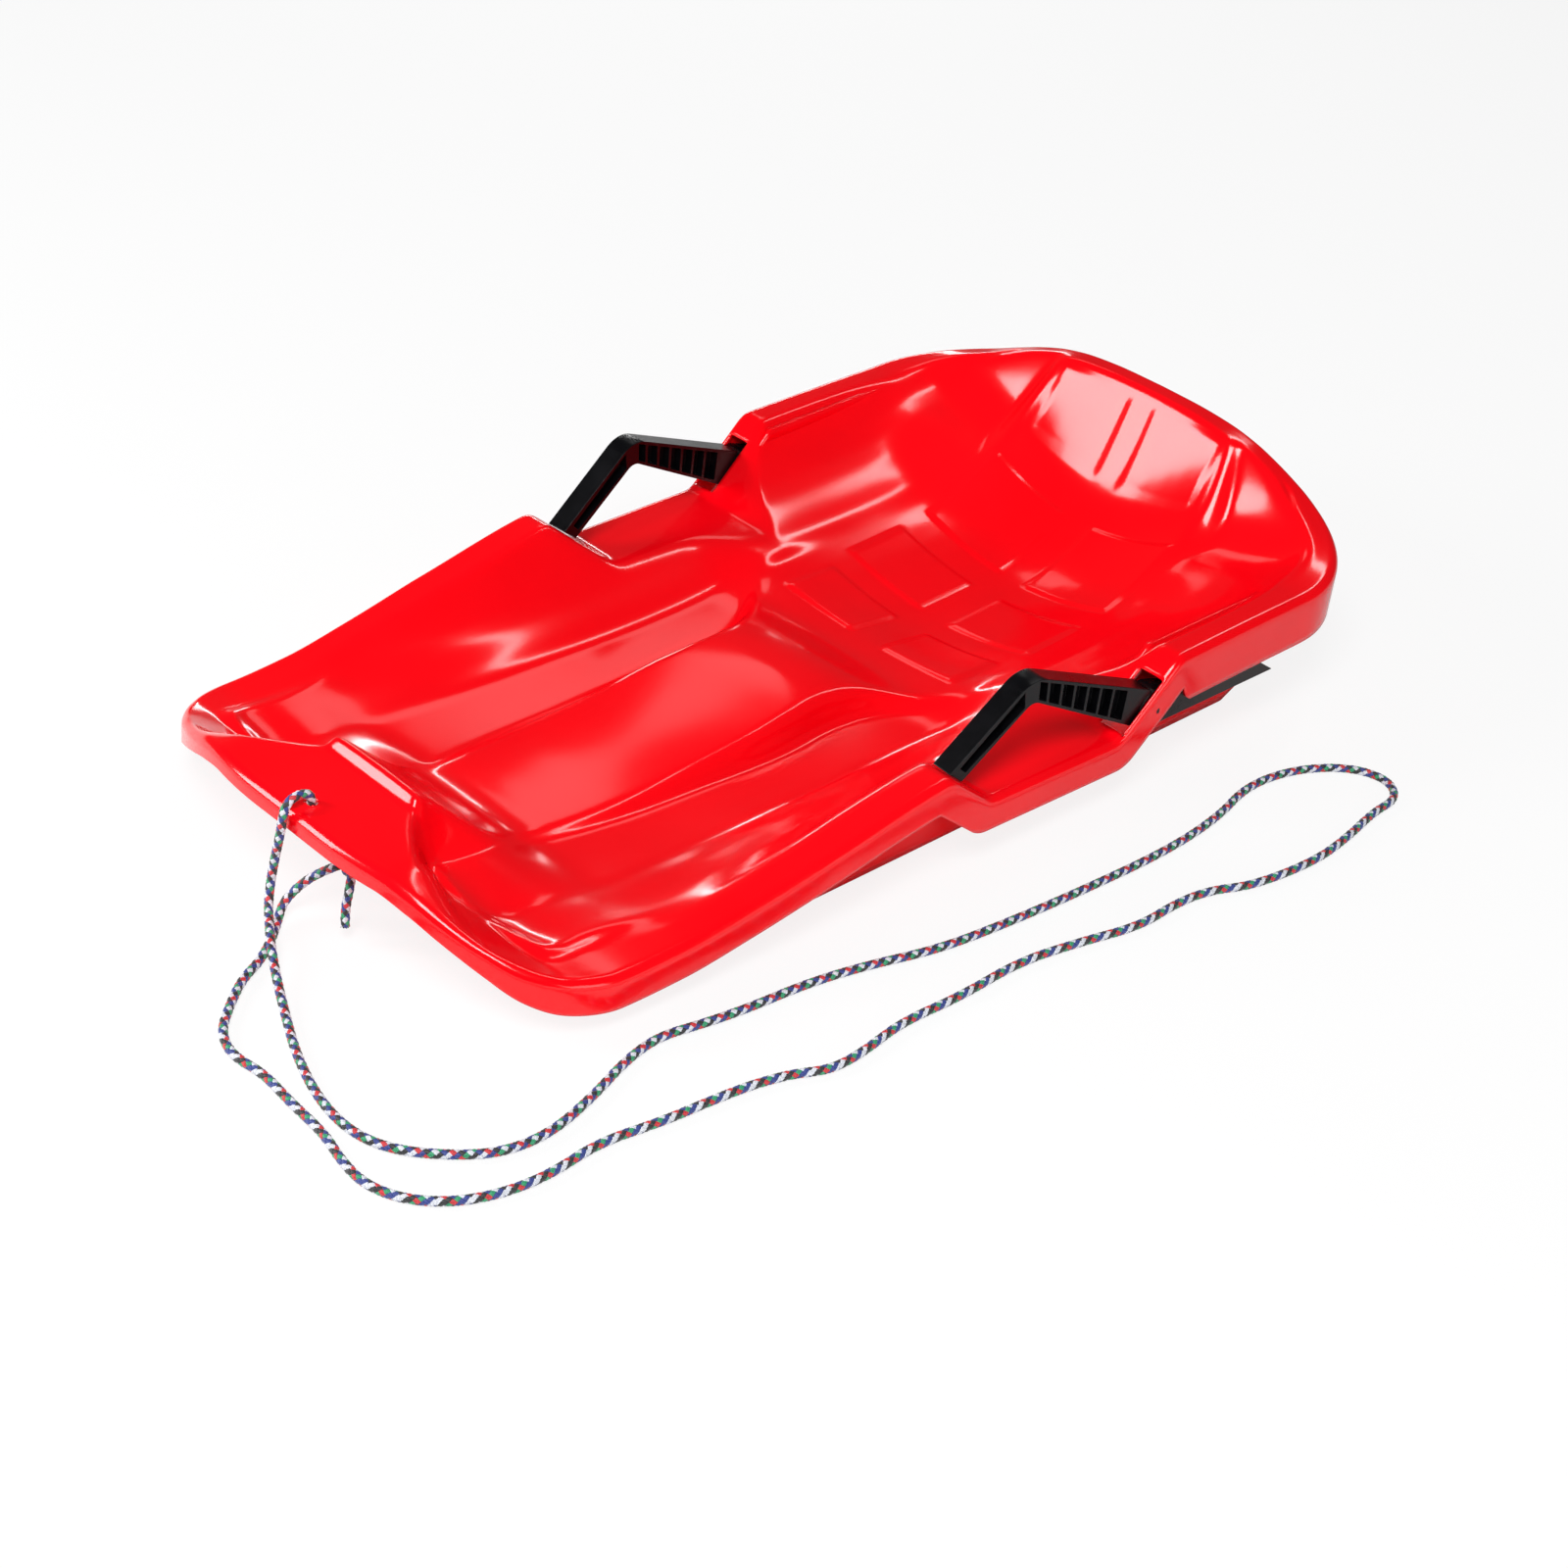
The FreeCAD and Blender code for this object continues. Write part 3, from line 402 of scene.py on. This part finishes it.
# Sections of the tub: y over the length, then the ridge's or seat's edge, its middle level, its
# edge level, the level at its foot, the floor's x and level, and the wall's top x and level.
TUB_SHARES = [
    (-0.4862, 0.374, 0.667, 0.667, 0.640, 0.467, 0.613, 0.570, 0.587),
    (-0.4610, 0.346, 0.667, 0.653, 0.533, 0.486, 0.527, 0.682, 0.480),
    (-0.4433, 0.280, 0.673, 0.667, 0.450, 0.467, 0.420, 0.738, 0.420),
    (-0.4257, 0.220, 0.633, 0.627, 0.360, 0.481, 0.300, 0.785, 0.387),
    (-0.3778, 0.210, 0.417, 0.410, 0.290, 0.505, 0.235, 0.850, 0.347),
    (-0.3451, 0.215, 0.280, 0.273, 0.253, 0.509, 0.223, 0.869, 0.347),
    (-0.3149, 0.215, 0.213, 0.210, 0.193, 0.509, 0.200, 0.874, 0.353),
    (-0.2922, 0.224, 0.207, 0.200, 0.177, 0.509, 0.193, 0.874, 0.360),
    (-0.2280, 0.245, 0.207, 0.197, 0.160, 0.509, 0.180, 0.874, 0.440),
    (-0.1423, 0.252, 0.240, 0.227, 0.153, 0.509, 0.173, 0.869, 0.560),
    (-0.0529, 0.259, 0.290, 0.280, 0.153, 0.509, 0.171, 0.869, 0.640),
    (0.0504, 0.294, 0.287, 0.273, 0.180, 0.512, 0.187, 0.888, 0.673),
    (0.0831, 0.374, 0.233, 0.240, 0.203, 0.516, 0.207, 0.893, 0.687),
    (0.1259, 0.466, 0.207, 0.262, 0.272, 0.506, 0.285, 0.902, 0.700),
    (0.1775, 0.480, 0.173, 0.278, 0.290, 0.520, 0.302, 0.907, 0.713),
    (0.2695, 0.475, 0.180, 0.300, 0.307, 0.515, 0.318, 0.911, 0.720),
    (0.3413, 0.450, 0.227, 0.367, 0.370, 0.490, 0.380, 0.911, 0.727),
    (0.3929, 0.420, 0.353, 0.500, 0.495, 0.460, 0.490, 0.902, 0.727),
    (0.4295, 0.411, 0.513, 0.633, 0.613, 0.495, 0.560, 0.860, 0.720),
    (0.4559, 0.402, 0.767, 0.827, 0.793, 0.467, 0.707, 0.785, 0.753),
    (0.4811, 0.355, 1.093, 1.053, 1.033, 0.411, 1.000, 0.617, 0.827),
]
# From the edge down to its foot: way out, and at most this much of the way to the floor.
EDGE_FOOT_SHARE = 0.03
EDGE_FOOT_LIMIT = 0.4
ARCH_POINTS = 7
# Least slope beyond the wall's top, and slope beyond the first and last station.
MOUTH_SLOPE = 1.5
END_SLOPE = 3
# The wall from the floor, at 0, to the rim, at 1: way out and rise.
WALL_SHARES = [
    (0.0, 0.0), (0.06, 0.02), (0.2, 0.11), (0.42, 0.235),
    (0.6, 0.36), (0.78, 0.53), (0.9, 0.72), (1.0, 1.0),
]
# The rim's height over its height at the side, from nose to tail, and the crowns of both ends.
RIM_SHARES = [
    (-0.524, 0.48), (-0.428, 0.42), (-0.378, 0.385), (-0.323, 0.405), (-0.258, 0.485),
    (-0.170, 0.625), (-0.055, 0.800), (0.214, 0.975), (0.426, 1.0), (0.524, 1.0),
]
NOSE_CROWN_SHARES = [
    (0.0, 0.34), (0.35, 0.335), (0.47, 0.28), (0.56, 0.21), (0.70, 0.10), (0.80, 0.03),
    (0.90, 0.0), (1.2, 0.0),
]
# The nose's raised middle: how its front bows, its back edge, half width, flare, side and height.
NOSE_BOW = 9.4e-6
NOSE_STEP_Y = -336
NOSE_STEP_HALF = 40
NOSE_STEP_FLARE = 48
NOSE_STEP_SIDE = 16
NOSE_STEP_SPREAD = 60
NOSE_STEP_HEIGHT = 41
NOSE_STEP_FADE = (2, 40)
# The open part behind it: how far the rim is out of the way, and where that starts and ends.
OPEN_LIFT = 60
OPEN_FRONT = (-2, 14)
OPEN_REAR = (-270, -200)
OPEN_SIDE = (120, 165)
TAIL_RISE_SHARES = (0.38, 0.468)
TAIL_CROWN_SHARES = [
    (0.0, 0.50), (0.15, 0.495), (0.30, 0.472), (0.42, 0.425), (0.536, 0.345), (0.643, 0.25),
    (0.723, 0.18), (0.844, 0.10), (0.93, 0.055), (1.0, 0.03), (1.2, 0.0),
]
# The seat's four rows of pads: their x and y, and the slope of the step across their outline.
PAD_SLOPE = (-0.8, 1.2)
PAD_SHARES = [
    ((0.070, 0.375), (0.124, 0.183)),
    ((0.066, 0.405), (0.213, 0.282)),
    ((0.062, 0.405), (0.316, 0.403)),
    ((0.050, 0.355), (0.434, 0.470)),
]
KEEL_FOOT_SHARE = 0.805
CHANNEL_SHARE = 0.122
KEEL_SIDE_SHARES = [
    (-0.423, 0.26), (-0.373, 0.08), (-0.302, 0.0), (0.368, 0.0), (0.392, 0.12), (0.403, 0.5),
]
KEEL_ROWS = 14
KEEL_COLUMNS = 240
# The walls lean out up to the knee's height, then a little more, and follow the plan's taper.
KEEL_KNEE_SHARE = 0.4
KEEL_LEAN_LIMIT = 1.6
KEEL_UPPER_SHARE = 0.7
KEEL_TAPER_SHARE = 0.44


def steady(table, at):
    # Monotone cubic through the table's pairs, flat beyond its ends.
    x, y = (np.array(column, float) for column in zip(*table))
    step = np.diff(x)
    slope = np.diff(y) / step
    tangent = np.zeros(len(x))
    tangent[0], tangent[-1] = slope[0], slope[-1]
    same_way = slope[:-1] * slope[1:] > 0
    total = np.where(same_way, slope[:-1] + slope[1:], 1)
    tangent[1:-1] = np.where(same_way, 2 * slope[:-1] * slope[1:] / total, 0)
    at = np.clip(at, x[0], x[-1])
    k = np.clip(np.searchsorted(x, at) - 1, 0, len(step) - 1)
    t = (at - x[k]) / step[k]
    rise = y[k] * (1 + 2 * t) * (1 - t) ** 2 + y[k + 1] * t * t * (3 - 2 * t)
    return rise + step[k] * (tangent[k] * t * (1 - t) ** 2 - tangent[k + 1] * t * t * (1 - t))


def ease(at, start, end):
    t = np.clip((at - start) / (end - start), 0, 1)
    return t * t * (3 - 2 * t)


def rim_height(x, y):
    share = y / HULL_LENGTH
    across = np.abs(x) / HALF
    tail = ease(share, *TAIL_RISE_SHARES)
    height = steady(RIM_SHARES, share) + tail * steady(TAIL_CROWN_SHARES, across)
    return height * SIDE_HEIGHT + nose_step(x, y)


def nose_step(x, y):
    # The raised middle of the nose, narrow at its back edge and flared to the front.
    across = np.abs(x)
    front = NOSE_BOW * across ** 3 - HULL_LENGTH / 2
    back = np.clip((y - front) / (NOSE_STEP_Y - front), 0, 1)
    half = NOSE_STEP_HALF + NOSE_STEP_FLARE * np.sqrt(1 - back)
    side = NOSE_STEP_SIDE + NOSE_STEP_SPREAD * (1 - back)
    block = NOSE_STEP_HEIGHT * (1 - ease(across, half, half + side))
    crown = SIDE_HEIGHT * steady(NOSE_CROWN_SHARES, across / HALF)
    fade = 1 - ease(y - NOSE_STEP_Y, *NOSE_STEP_FADE)
    return fade * (crown + (block - crown) * back)


def blend_low(a, b, soft):
    # The lower of two heights, rounded where they meet.
    h = np.clip(0.5 + 0.5 * (b - a) / soft, 0, 1)
    return b + (a - b) * h - soft * h * (1 - h)


def blend_high(a, b, soft):
    return -blend_low(-a, -b, soft)


def notch_lines():
    # How far along y the notch's sloped faces run for each millimetre up to the rim.
    rim_front = rim_height(np.array(NOSE_WIDTH / 2), np.array(float(NOTCH_START)))
    rim_rear = rim_height(np.array(HALF), np.array(float(NOTCH_END)))
    front = (NOTCH_START - NOTCH_FLOOR_START) / (rim_front - NOTCH_HEIGHT)
    rear = (NOTCH_END - NOTCH_FLOOR_END) / (rim_rear - NOTCH_HEIGHT)
    return float(front), float(rear)


def notch_height(y, soft):
    front, rear = notch_lines()
    high = NOTCH_HEIGHT + np.maximum((y - NOTCH_FLOOR_START) / front, (y - NOTCH_FLOOR_END) / rear)
    return blend_high(high, np.full_like(high, NOTCH_HEIGHT), soft)


def natural_cubic(x, y, at):
    # Cubic spline through the points, with free ends.
    h = np.diff(x)
    n = len(x)
    matrix = np.eye(n)
    right = np.zeros(n)
    for k in range(1, n - 1):
        matrix[k, k - 1:k + 2] = (h[k - 1], 2 * (h[k - 1] + h[k]), h[k])
        right[k] = 6 * ((y[k + 1] - y[k]) / h[k] - (y[k] - y[k - 1]) / h[k - 1])
    bend = np.linalg.solve(matrix, right)
    k = np.clip(np.searchsorted(x, at) - 1, 0, n - 2)
    a, b = (x[k + 1] - at) / h[k], (at - x[k]) / h[k]
    cubic = ((a ** 3 - a) * bend[k] + (b ** 3 - b) * bend[k + 1]) * h[k] ** 2 / 6
    return a * y[k] + b * y[k + 1] + cubic


def tub_rows(y):
    # Section of the tub at each y: the numbers of the stations, smoothly between.
    places, *columns = np.array(TUB_SHARES).T
    places = places * HULL_LENGTH
    wide, high = HALF, BACK_HEIGHT
    scales = (wide, high, high, high, wide, high, wide, high)
    at = np.clip(y, places[0], places[-1])
    return [natural_cubic(places, column * scale, at) for column, scale in zip(columns, scales)]


def tub_height(x, y):
    # Height of the tub's inner surface; x and y are grids whose rows share one y.
    edge, middle, edge_z, foot_z, floor_x, floor_z, mouth_x, mouth_z = tub_rows(y[:, 0])
    foot = np.minimum(edge + EDGE_FOOT_SHARE * HALF, edge + EDGE_FOOT_LIMIT * (floor_x - edge))
    heights = np.zeros_like(x)
    arch = np.linspace(0, 1, ARCH_POINTS)
    for i in range(len(x)):
        places = list(arch * edge[i]) + [foot[i]]
        levels = list(middle[i] + (edge_z[i] - middle[i]) * arch ** 2) + [foot_z[i]]
        for wide, rise in WALL_SHARES:
            places.append(floor_x[i] + wide * (mouth_x[i] - floor_x[i]))
            levels.append(floor_z[i] + rise * (mouth_z[i] - floor_z[i]))
        steep = (levels[-1] - levels[-2]) / (places[-1] - places[-2])
        across = np.abs(x[i])
        heights[i] = np.interp(across, places, levels)
        heights[i] += np.maximum(across - mouth_x[i], 0) * max(steep, MOUTH_SLOPE)
    front, rear = TUB_SHARES[0][0] * HULL_LENGTH, TUB_SHARES[-1][0] * HULL_LENGTH
    return heights + END_SLOPE * np.maximum(front - y, 0) + END_SLOPE * np.maximum(y - rear, 0)


def pad_lift(x, y):
    lift = np.zeros_like(x)
    for (x0, x1), (y0, y1) in PAD_SHARES:
        inside = np.minimum(np.abs(x) - x0 * HALF, x1 * HALF - np.abs(x))
        inside = np.minimum(inside, np.minimum(y - y0 * HULL_LENGTH, y1 * HULL_LENGTH - y))
        lift = np.maximum(lift, ease(inside, *PAD_SLOPE))
    return PAD_LIFT * lift


def plan_side():
    # The +x side of the plan outline from nose to tail, a point about every 2 mm.
    nose, end = NOSE_WIDTH / 2, HULL_LENGTH / 2
    wide_arc = 1.2 * HALF
    # Corners: x, y and the radius that rounds each.
    corners = [
        (0, -0.998 * end, 0),
        (0.45 * nose, -0.998 * end, wide_arc),
        (0.955 * nose, -0.87 * end, NOSE_CORNER),
        (nose + 0.1 * (HALF - nose), -0.375 * end, wide_arc),
        (HALF, 0.425 * end, wide_arc),
        (HALF, end, TAIL_CORNER),
        (0, end, 0),
    ]
    points = []
    for k in range(1, len(corners) - 1):
        here = np.array(corners[k][:2], float)
        back = np.array(corners[k - 1][:2]) - here
        ahead = np.array(corners[k + 1][:2]) - here
        back /= np.linalg.norm(back)
        ahead /= np.linalg.norm(ahead)
        half_turn = (math.pi - math.acos(np.clip(back @ ahead, -1, 1))) / 2
        radius = corners[k][2]
        inward = (back + ahead) / np.linalg.norm(back + ahead)
        centre = here + inward * radius / math.cos(half_turn)
        start, end_angle = (math.atan2(*(here + way * radius * math.tan(half_turn) - centre)[::-1])
                            for way in (back, ahead))
        sweep = (end_angle - start + math.pi) % (2 * math.pi) - math.pi
        count = max(int(abs(sweep) * radius / 2), 4)
        angles = start + sweep * np.linspace(0, 1, count)
        points += [centre + radius * np.array([math.cos(a), math.sin(a)]) for a in angles]
    points = np.array(points)
    line, _ = evenly(np.column_stack([points, np.zeros(len(points))]), PLAN_STEP)
    # Only points that go on towards the tail, so each has a row of its own.
    keep = np.concatenate([[True], np.diff(line[:, 1]) > 0.02])
    return line[keep][:, :2]


def edge_distance(x, y, side):
    # How far each point lies inside the plan outline. Both halves are alike, so the outline's
    # -x half counts only in its straight runs across the nose and the tail.
    ring = np.concatenate([side, side[::-1] * (-1, 1)])
    ends = np.roll(ring, -1, axis=0)
    best = np.full(x.shape, 1e9)
    ax = np.abs(x)
    for (x0, y0), (x1, y1) in zip(ring, ends):
        dx, dy = x1 - x0, y1 - y0
        run = dx * dx + dy * dy
        if run < 1e-9 or (min(x0, x1) < -1 and abs(dy) > 1e-6):
            continue
        t = np.clip(((ax - x0) * dx + (y - y0) * dy) / run, 0, 1)
        best = np.minimum(best, (ax - x0 - t * dx) ** 2 + (y - y0 - t * dy) ** 2)
    return np.sqrt(best)


def skirt_foot(x, y):
    share = y / HULL_LENGTH
    depth = SKIRT_NOSE + (SKIRT_FRONT - SKIRT_NOSE) * ease(share, *SKIRT_FRONT_SHARES)
    depth = depth + (SKIRT_REAR - SKIRT_FRONT) * ease(share, *SKIRT_REAR_SHARES)
    foot = rim_height(x, y) - depth
    # Under the notch the skirt keeps its depth below the notch's outline.
    reach = np.arange(NOTCH_START - SKIRT_AHEAD, NOTCH_END + SKIRT_BEHIND, 1.0)
    outline = notch_height(reach, NOTCH_CORNER_SHARP)
    under = np.full_like(y, 1e9)
    for place, level in zip(reach, outline):
        aside = np.abs(y - place)
        drop = np.sqrt(np.maximum(SKIRT_FRONT ** 2 - aside ** 2, 0))
        under = np.where(aside < SKIRT_FRONT, np.minimum(under, level - drop), under)
    return np.minimum(foot, under)


def smooth(heights, between_rows):
    # One pass of rounding, from row to row or along each row.
    run = heights.T if between_rows else heights
    run[:, 1:-1] = (run[:, :-2] + 2 * run[:, 1:-1] + run[:, 2:]) / 4


def skin_top(x, y, side):
    # Height of the skin's upper surface over its grid.
    rim = blend_low(rim_height(x, y), notch_height(y, NOTCH_CORNER_SOFT), NOTCH_SOFT)
    # Behind the nose's raised middle the tub alone shapes the surface.
    open_part = ease(y - NOSE_STEP_Y, *OPEN_FRONT) * (1 - ease(y, *OPEN_REAR))
    rim += OPEN_LIFT * open_part * (1 - ease(np.abs(x), *OPEN_SIDE))
    tub = tub_height(x, y)
    smooth(tub, between_rows=False)
    top = blend_low(rim, tub, TUB_SOFT)
    for _ in range(SMOOTHING_PASSES):
        smooth(top, between_rows=True)
        smooth(top, between_rows=False)
    top += pad_lift(x, y)
    # Rolled edge, round over its last few millimetres.
    shy = np.clip(RIM_ROUND - edge_distance(x, y, side), 0, RIM_ROUND)
    return top - (RIM_ROUND - np.sqrt(RIM_ROUND ** 2 - shy ** 2))


def slot_mask(places):
    # Where the lever comes through the sloped rear face of the notch.
    _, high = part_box("brake_lever_left")
    pin_low, pin_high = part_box("pivot_pin_left")
    pin_y = (pin_low[1] + pin_high[1]) / 2 / MM
    far = high[0] / MM + SLOT_CLEAR
    near = far - SLOT_WIDTH
    x, y = np.abs(places[:, 0]), places[:, 1]
    return (x > near) & (x < far) & (y > pin_y - SLOT_BEFORE_PIN) & (y < pin_y + SLOT_BEHIND_PIN)


def open_skin(verts, faces):
    # Takes out the levers' slots and the rope hole, and rounds the hole's edge.
    centres = verts[faces].mean(axis=1)
    in_hole = np.hypot(centres[:, 0], centres[:, 1] - HOLE_Y) < HOLE_RADIUS
    away = verts[:, :2] - (0, HOLE_Y)
    reach = np.hypot(away[:, 0], away[:, 1])
    close = (reach < HOLE_RADIUS + HOLE_REACH) & (reach > 0.1)
    verts[close, :2] = (0, HOLE_Y) + away[close] / reach[close, None] * HOLE_RADIUS
    return faces[~(slot_mask(centres) | in_hole)]


def add_skirt(verts, faces, ring):
    # Rings of faces from the skin's outer edge down to the skirt's foot.
    edge = verts[ring]
    foot = skirt_foot(edge[:, 0], edge[:, 1])
    belts, upper = [], ring
    for level in np.arange(1, SKIRT_RINGS + 1) / SKIRT_RINGS:
        places = edge.copy()
        places[:, 2] += (foot - edge[:, 2]) * level
        lower = np.arange(len(ring)) + len(verts)
        verts = np.concatenate([verts, places])
        belts.append(np.stack([upper, lower, np.roll(lower, -1), np.roll(upper, -1)], axis=-1))
        upper = lower
    return verts, np.concatenate([faces] + belts)


def hull_skin(red):
    side = plan_side()
    inner = np.linspace(0, 1, SKIN_COLUMNS)
    near_edge = 1 - np.array(SKIN_EDGE_STEPS) / HALF
    half_columns = np.concatenate([inner[inner < near_edge[0] - SKIN_LEAST_GAP], near_edge])
    columns = np.concatenate([-half_columns[:0:-1], half_columns])
    x = side[:, :1] * columns[None, :]
    y = np.repeat(side[:, 1:], len(columns), axis=1)
    verts = np.stack([x, y, skin_top(x, y, side)], axis=-1).reshape(-1, 3)
    index = np.arange(x.size).reshape(x.shape)
    ring = np.concatenate([index[0], index[1:, -1], index[-1, -2::-1], index[-2:0:-1, 0]])
    faces = open_skin(verts, grid_faces(*x.shape))
    verts, faces = add_skirt(verts, faces, ring)
    skin = new_object("hull_skin", verts * MM, faces, [red])
    with_mesh(skin, join_and_face_up)
    add_wall(skin)
    return skin


def with_mesh(thing, change):
    work = bmesh.new()
    work.from_mesh(thing.data)
    change(work)
    work.to_mesh(thing.data)
    work.free()


def face_out(work, face, way):
    # All faces one way round, so that the given face looks the given way.
    bmesh.ops.recalc_face_normals(work, faces=work.faces)
    if face.normal.dot(Vector(way)) < 0:
        bmesh.ops.reverse_faces(work, faces=work.faces)


def join_and_face_up(work):
    bmesh.ops.remove_doubles(work, verts=work.verts, dist=JOIN_REACH)
    loose = [v for v in work.verts if not v.link_faces]
    bmesh.ops.delete(work, geom=loose, context="VERTS")
    top = max(work.faces, key=lambda f: f.calc_center_median().z)
    face_out(work, top, (0, 0, 1))


def add_wall(thing):
    wall = thing.modifiers.new("wall", "SOLIDIFY")
    wall.thickness = WALL * MM
    wall.offset = -1


def side_wall(name, side, red):
    # Plain wall from the snow up into the rim, leaning in towards its foot.
    y = np.linspace(KEEL_SIDE_SHARES[0][0], KEEL_SIDE_SHARES[-1][0], KEEL_COLUMNS) * HULL_LENGTH
    foot = np.interp(y / HULL_LENGTH, *zip(*KEEL_SIDE_SHARES)) * BACK_HEIGHT
    taper = (y / HULL_LENGTH + KEEL_TAPER_SHARE) / (2 * KEEL_TAPER_SHARE)
    edge = NOSE_WIDTH / 2 + (HALF - NOSE_WIDTH / 2) * taper
    knee = edge - CHANNEL_SHARE * HALF
    knee_height = KEEL_KNEE_SHARE * BACK_HEIGHT
    top = np.minimum(rim_height(edge, y), notch_height(y, NOTCH_CORNER_SOFT)) - WALL
    verts = []
    for level in np.linspace(0, 1, KEEL_ROWS):
        z = foot + (np.maximum(top, foot + 1) - foot) * level
        lean = np.clip(z / knee_height, 0, KEEL_LEAN_LIMIT)
        x = KEEL_FOOT_SHARE * HALF + (knee - KEEL_FOOT_SHARE * HALF) * np.minimum(lean, 1)
        x += np.maximum(lean - 1, 0) * knee_height * WALL / (KEEL_UPPER_SHARE * BACK_HEIGHT)
        verts.append(np.stack([side * x, y, z], axis=-1))
    wall = new_object(name, np.concatenate(verts) * MM, grid_faces(KEEL_ROWS, len(y)), [red])
    with_mesh(wall, lambda work: face_out(work, work.faces[:][len(work.faces) // 2], (side, 0, 0)))
    add_wall(wall)
    return wall


def make_hull():
    red = hull_material()
    pieces = [
        hull_skin(red),
        side_wall("side_wall_left", 1, red),
        side_wall("side_wall_right", -1, red),
    ]
    for piece in pieces:
        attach(piece, "sled")
        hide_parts("hull")


# Levers and pins keep their solids, with softened edges

LEVER_EDGE = 0.7
PIN_EDGE = 0.4
EDGE_STEPS = 3
EDGE_ANGLE = 28
WELD_REACH = 0.00001


def soften(node, width, material):
    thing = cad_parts[node]
    thing.data.materials.clear()
    thing.data.materials.append(material)
    weld = thing.modifiers.new("weld", "WELD")
    weld.merge_threshold = WELD_REACH
    bevel = thing.modifiers.new("edges", "BEVEL")
    bevel.width = width * MM
    bevel.segments = EDGE_STEPS
    bevel.limit_method = "ANGLE"
    bevel.angle_limit = math.radians(EDGE_ANGLE)
    bevel.harden_normals = True


def make_brakes():
    black = lever_material()
    steel = pin_material()
    for side in ("left", "right"):
        soften("brake_lever_" + side, LEVER_EDGE, black)
        soften("pivot_pin_" + side, PIN_EDGE, steel)


# Floor and light

FLOOR_GLOW = 0.85
FLOOR_HALF = 6
FLOOR_DROP = 0.0004
WORLD_LIGHT = 0.07
# Soft boxes placed where the photo's surfaces mirror them: name, place, aim, width and height in
# metres, and watts.
LIGHTS = [
    ("light_key", (1.0, -1.5, 2.2), (0, 0, 0), 1.0, 1.0, 64),
    ("light_lines", (-0.35, 1.43, 1.75), (0, 0, 0), 0.12, 1.2, 5),
    ("light_behind", (-1.07, 0.93, 1.18), (0, -0.05, 0), 0.34, 0.3, 0.45),
    ("light_front", (-1.25, -1.55, 0.85), (0, 0.35, 0.1), 0.6, 1.05, 30),
    ("light_low", (-1.85, 1.5, 0.50), (0, 0, 0), 1.0, 0.12, 6),
    ("light_side", (2.3, -0.2, 0.7), (0, 0, 0.1), 1.3, 0.9, 14),
]


def for_camera(nodes, links, seen, otherwise):
    # One value for what the camera sees directly, another for all other rays.
    path = nodes.new("ShaderNodeLightPath")
    spread = nodes.new("ShaderNodeMapRange")
    spread.inputs["To Min"].default_value = otherwise
    spread.inputs["To Max"].default_value = seen
    links.new(path.outputs["Is Camera Ray"], spread.inputs["Value"])
    return spread.outputs["Result"]


def make_floor():
    material, nodes, links, shader = new_material("floor_white")
    shader.inputs["Base Color"].default_value = (0.9, 0.9, 0.9, 1)
    shader.inputs["Roughness"].default_value = 0.9
    # The camera sees mostly plain white, with the object's shadow in what is left.
    glow = nodes.new("ShaderNodeEmission")
    glow.inputs["Strength"].default_value = 1.0
    mix = nodes.new("ShaderNodeMixShader")
    links.new(for_camera(nodes, links, FLOOR_GLOW, 0.0), mix.inputs["Fac"])
    links.new(shader.outputs["BSDF"], mix.inputs[1])
    links.new(glow.outputs["Emission"], mix.inputs[2])
    links.new(mix.outputs["Shader"], nodes["Material Output"].inputs["Surface"])
    verts = [(x * FLOOR_HALF, y * FLOOR_HALF, 0) for x, y in ((-1, -1), (1, -1), (1, 1), (-1, 1))]
    floor = new_object("floor", verts, [(0, 1, 2, 3)], [material])
    floor.location.z = -FLOOR_DROP


def make_world():
    world = bpy.data.worlds.new("studio")
    bpy.context.scene.world = world
    world.use_nodes = True
    nodes, links = world.node_tree.nodes, world.node_tree.links
    back = nodes["Background"]
    back.inputs["Color"].default_value = (1, 1, 1, 1)
    links.new(for_camera(nodes, links, 1.0, WORLD_LIGHT), back.inputs["Strength"])


def soft_box(name, place, aim, width, height, power):
    data = bpy.data.lights.new(name, "AREA")
    data.shape = "RECTANGLE"
    data.size = width
    data.size_y = height
    data.energy = power
    light = bpy.data.objects.new(name, data)
    light.location = place
    toward = Vector(aim) - Vector(place)
    light.rotation_euler = toward.to_track_quat("-Z", "Y").to_euler()
    bpy.context.scene.collection.objects.link(light)


add_camera()
make_rope()
make_hull()
make_brakes()
make_floor()
make_world()
for light in LIGHTS:
    soft_box(*light)

bpy.context.scene.view_settings.view_transform = "Standard"
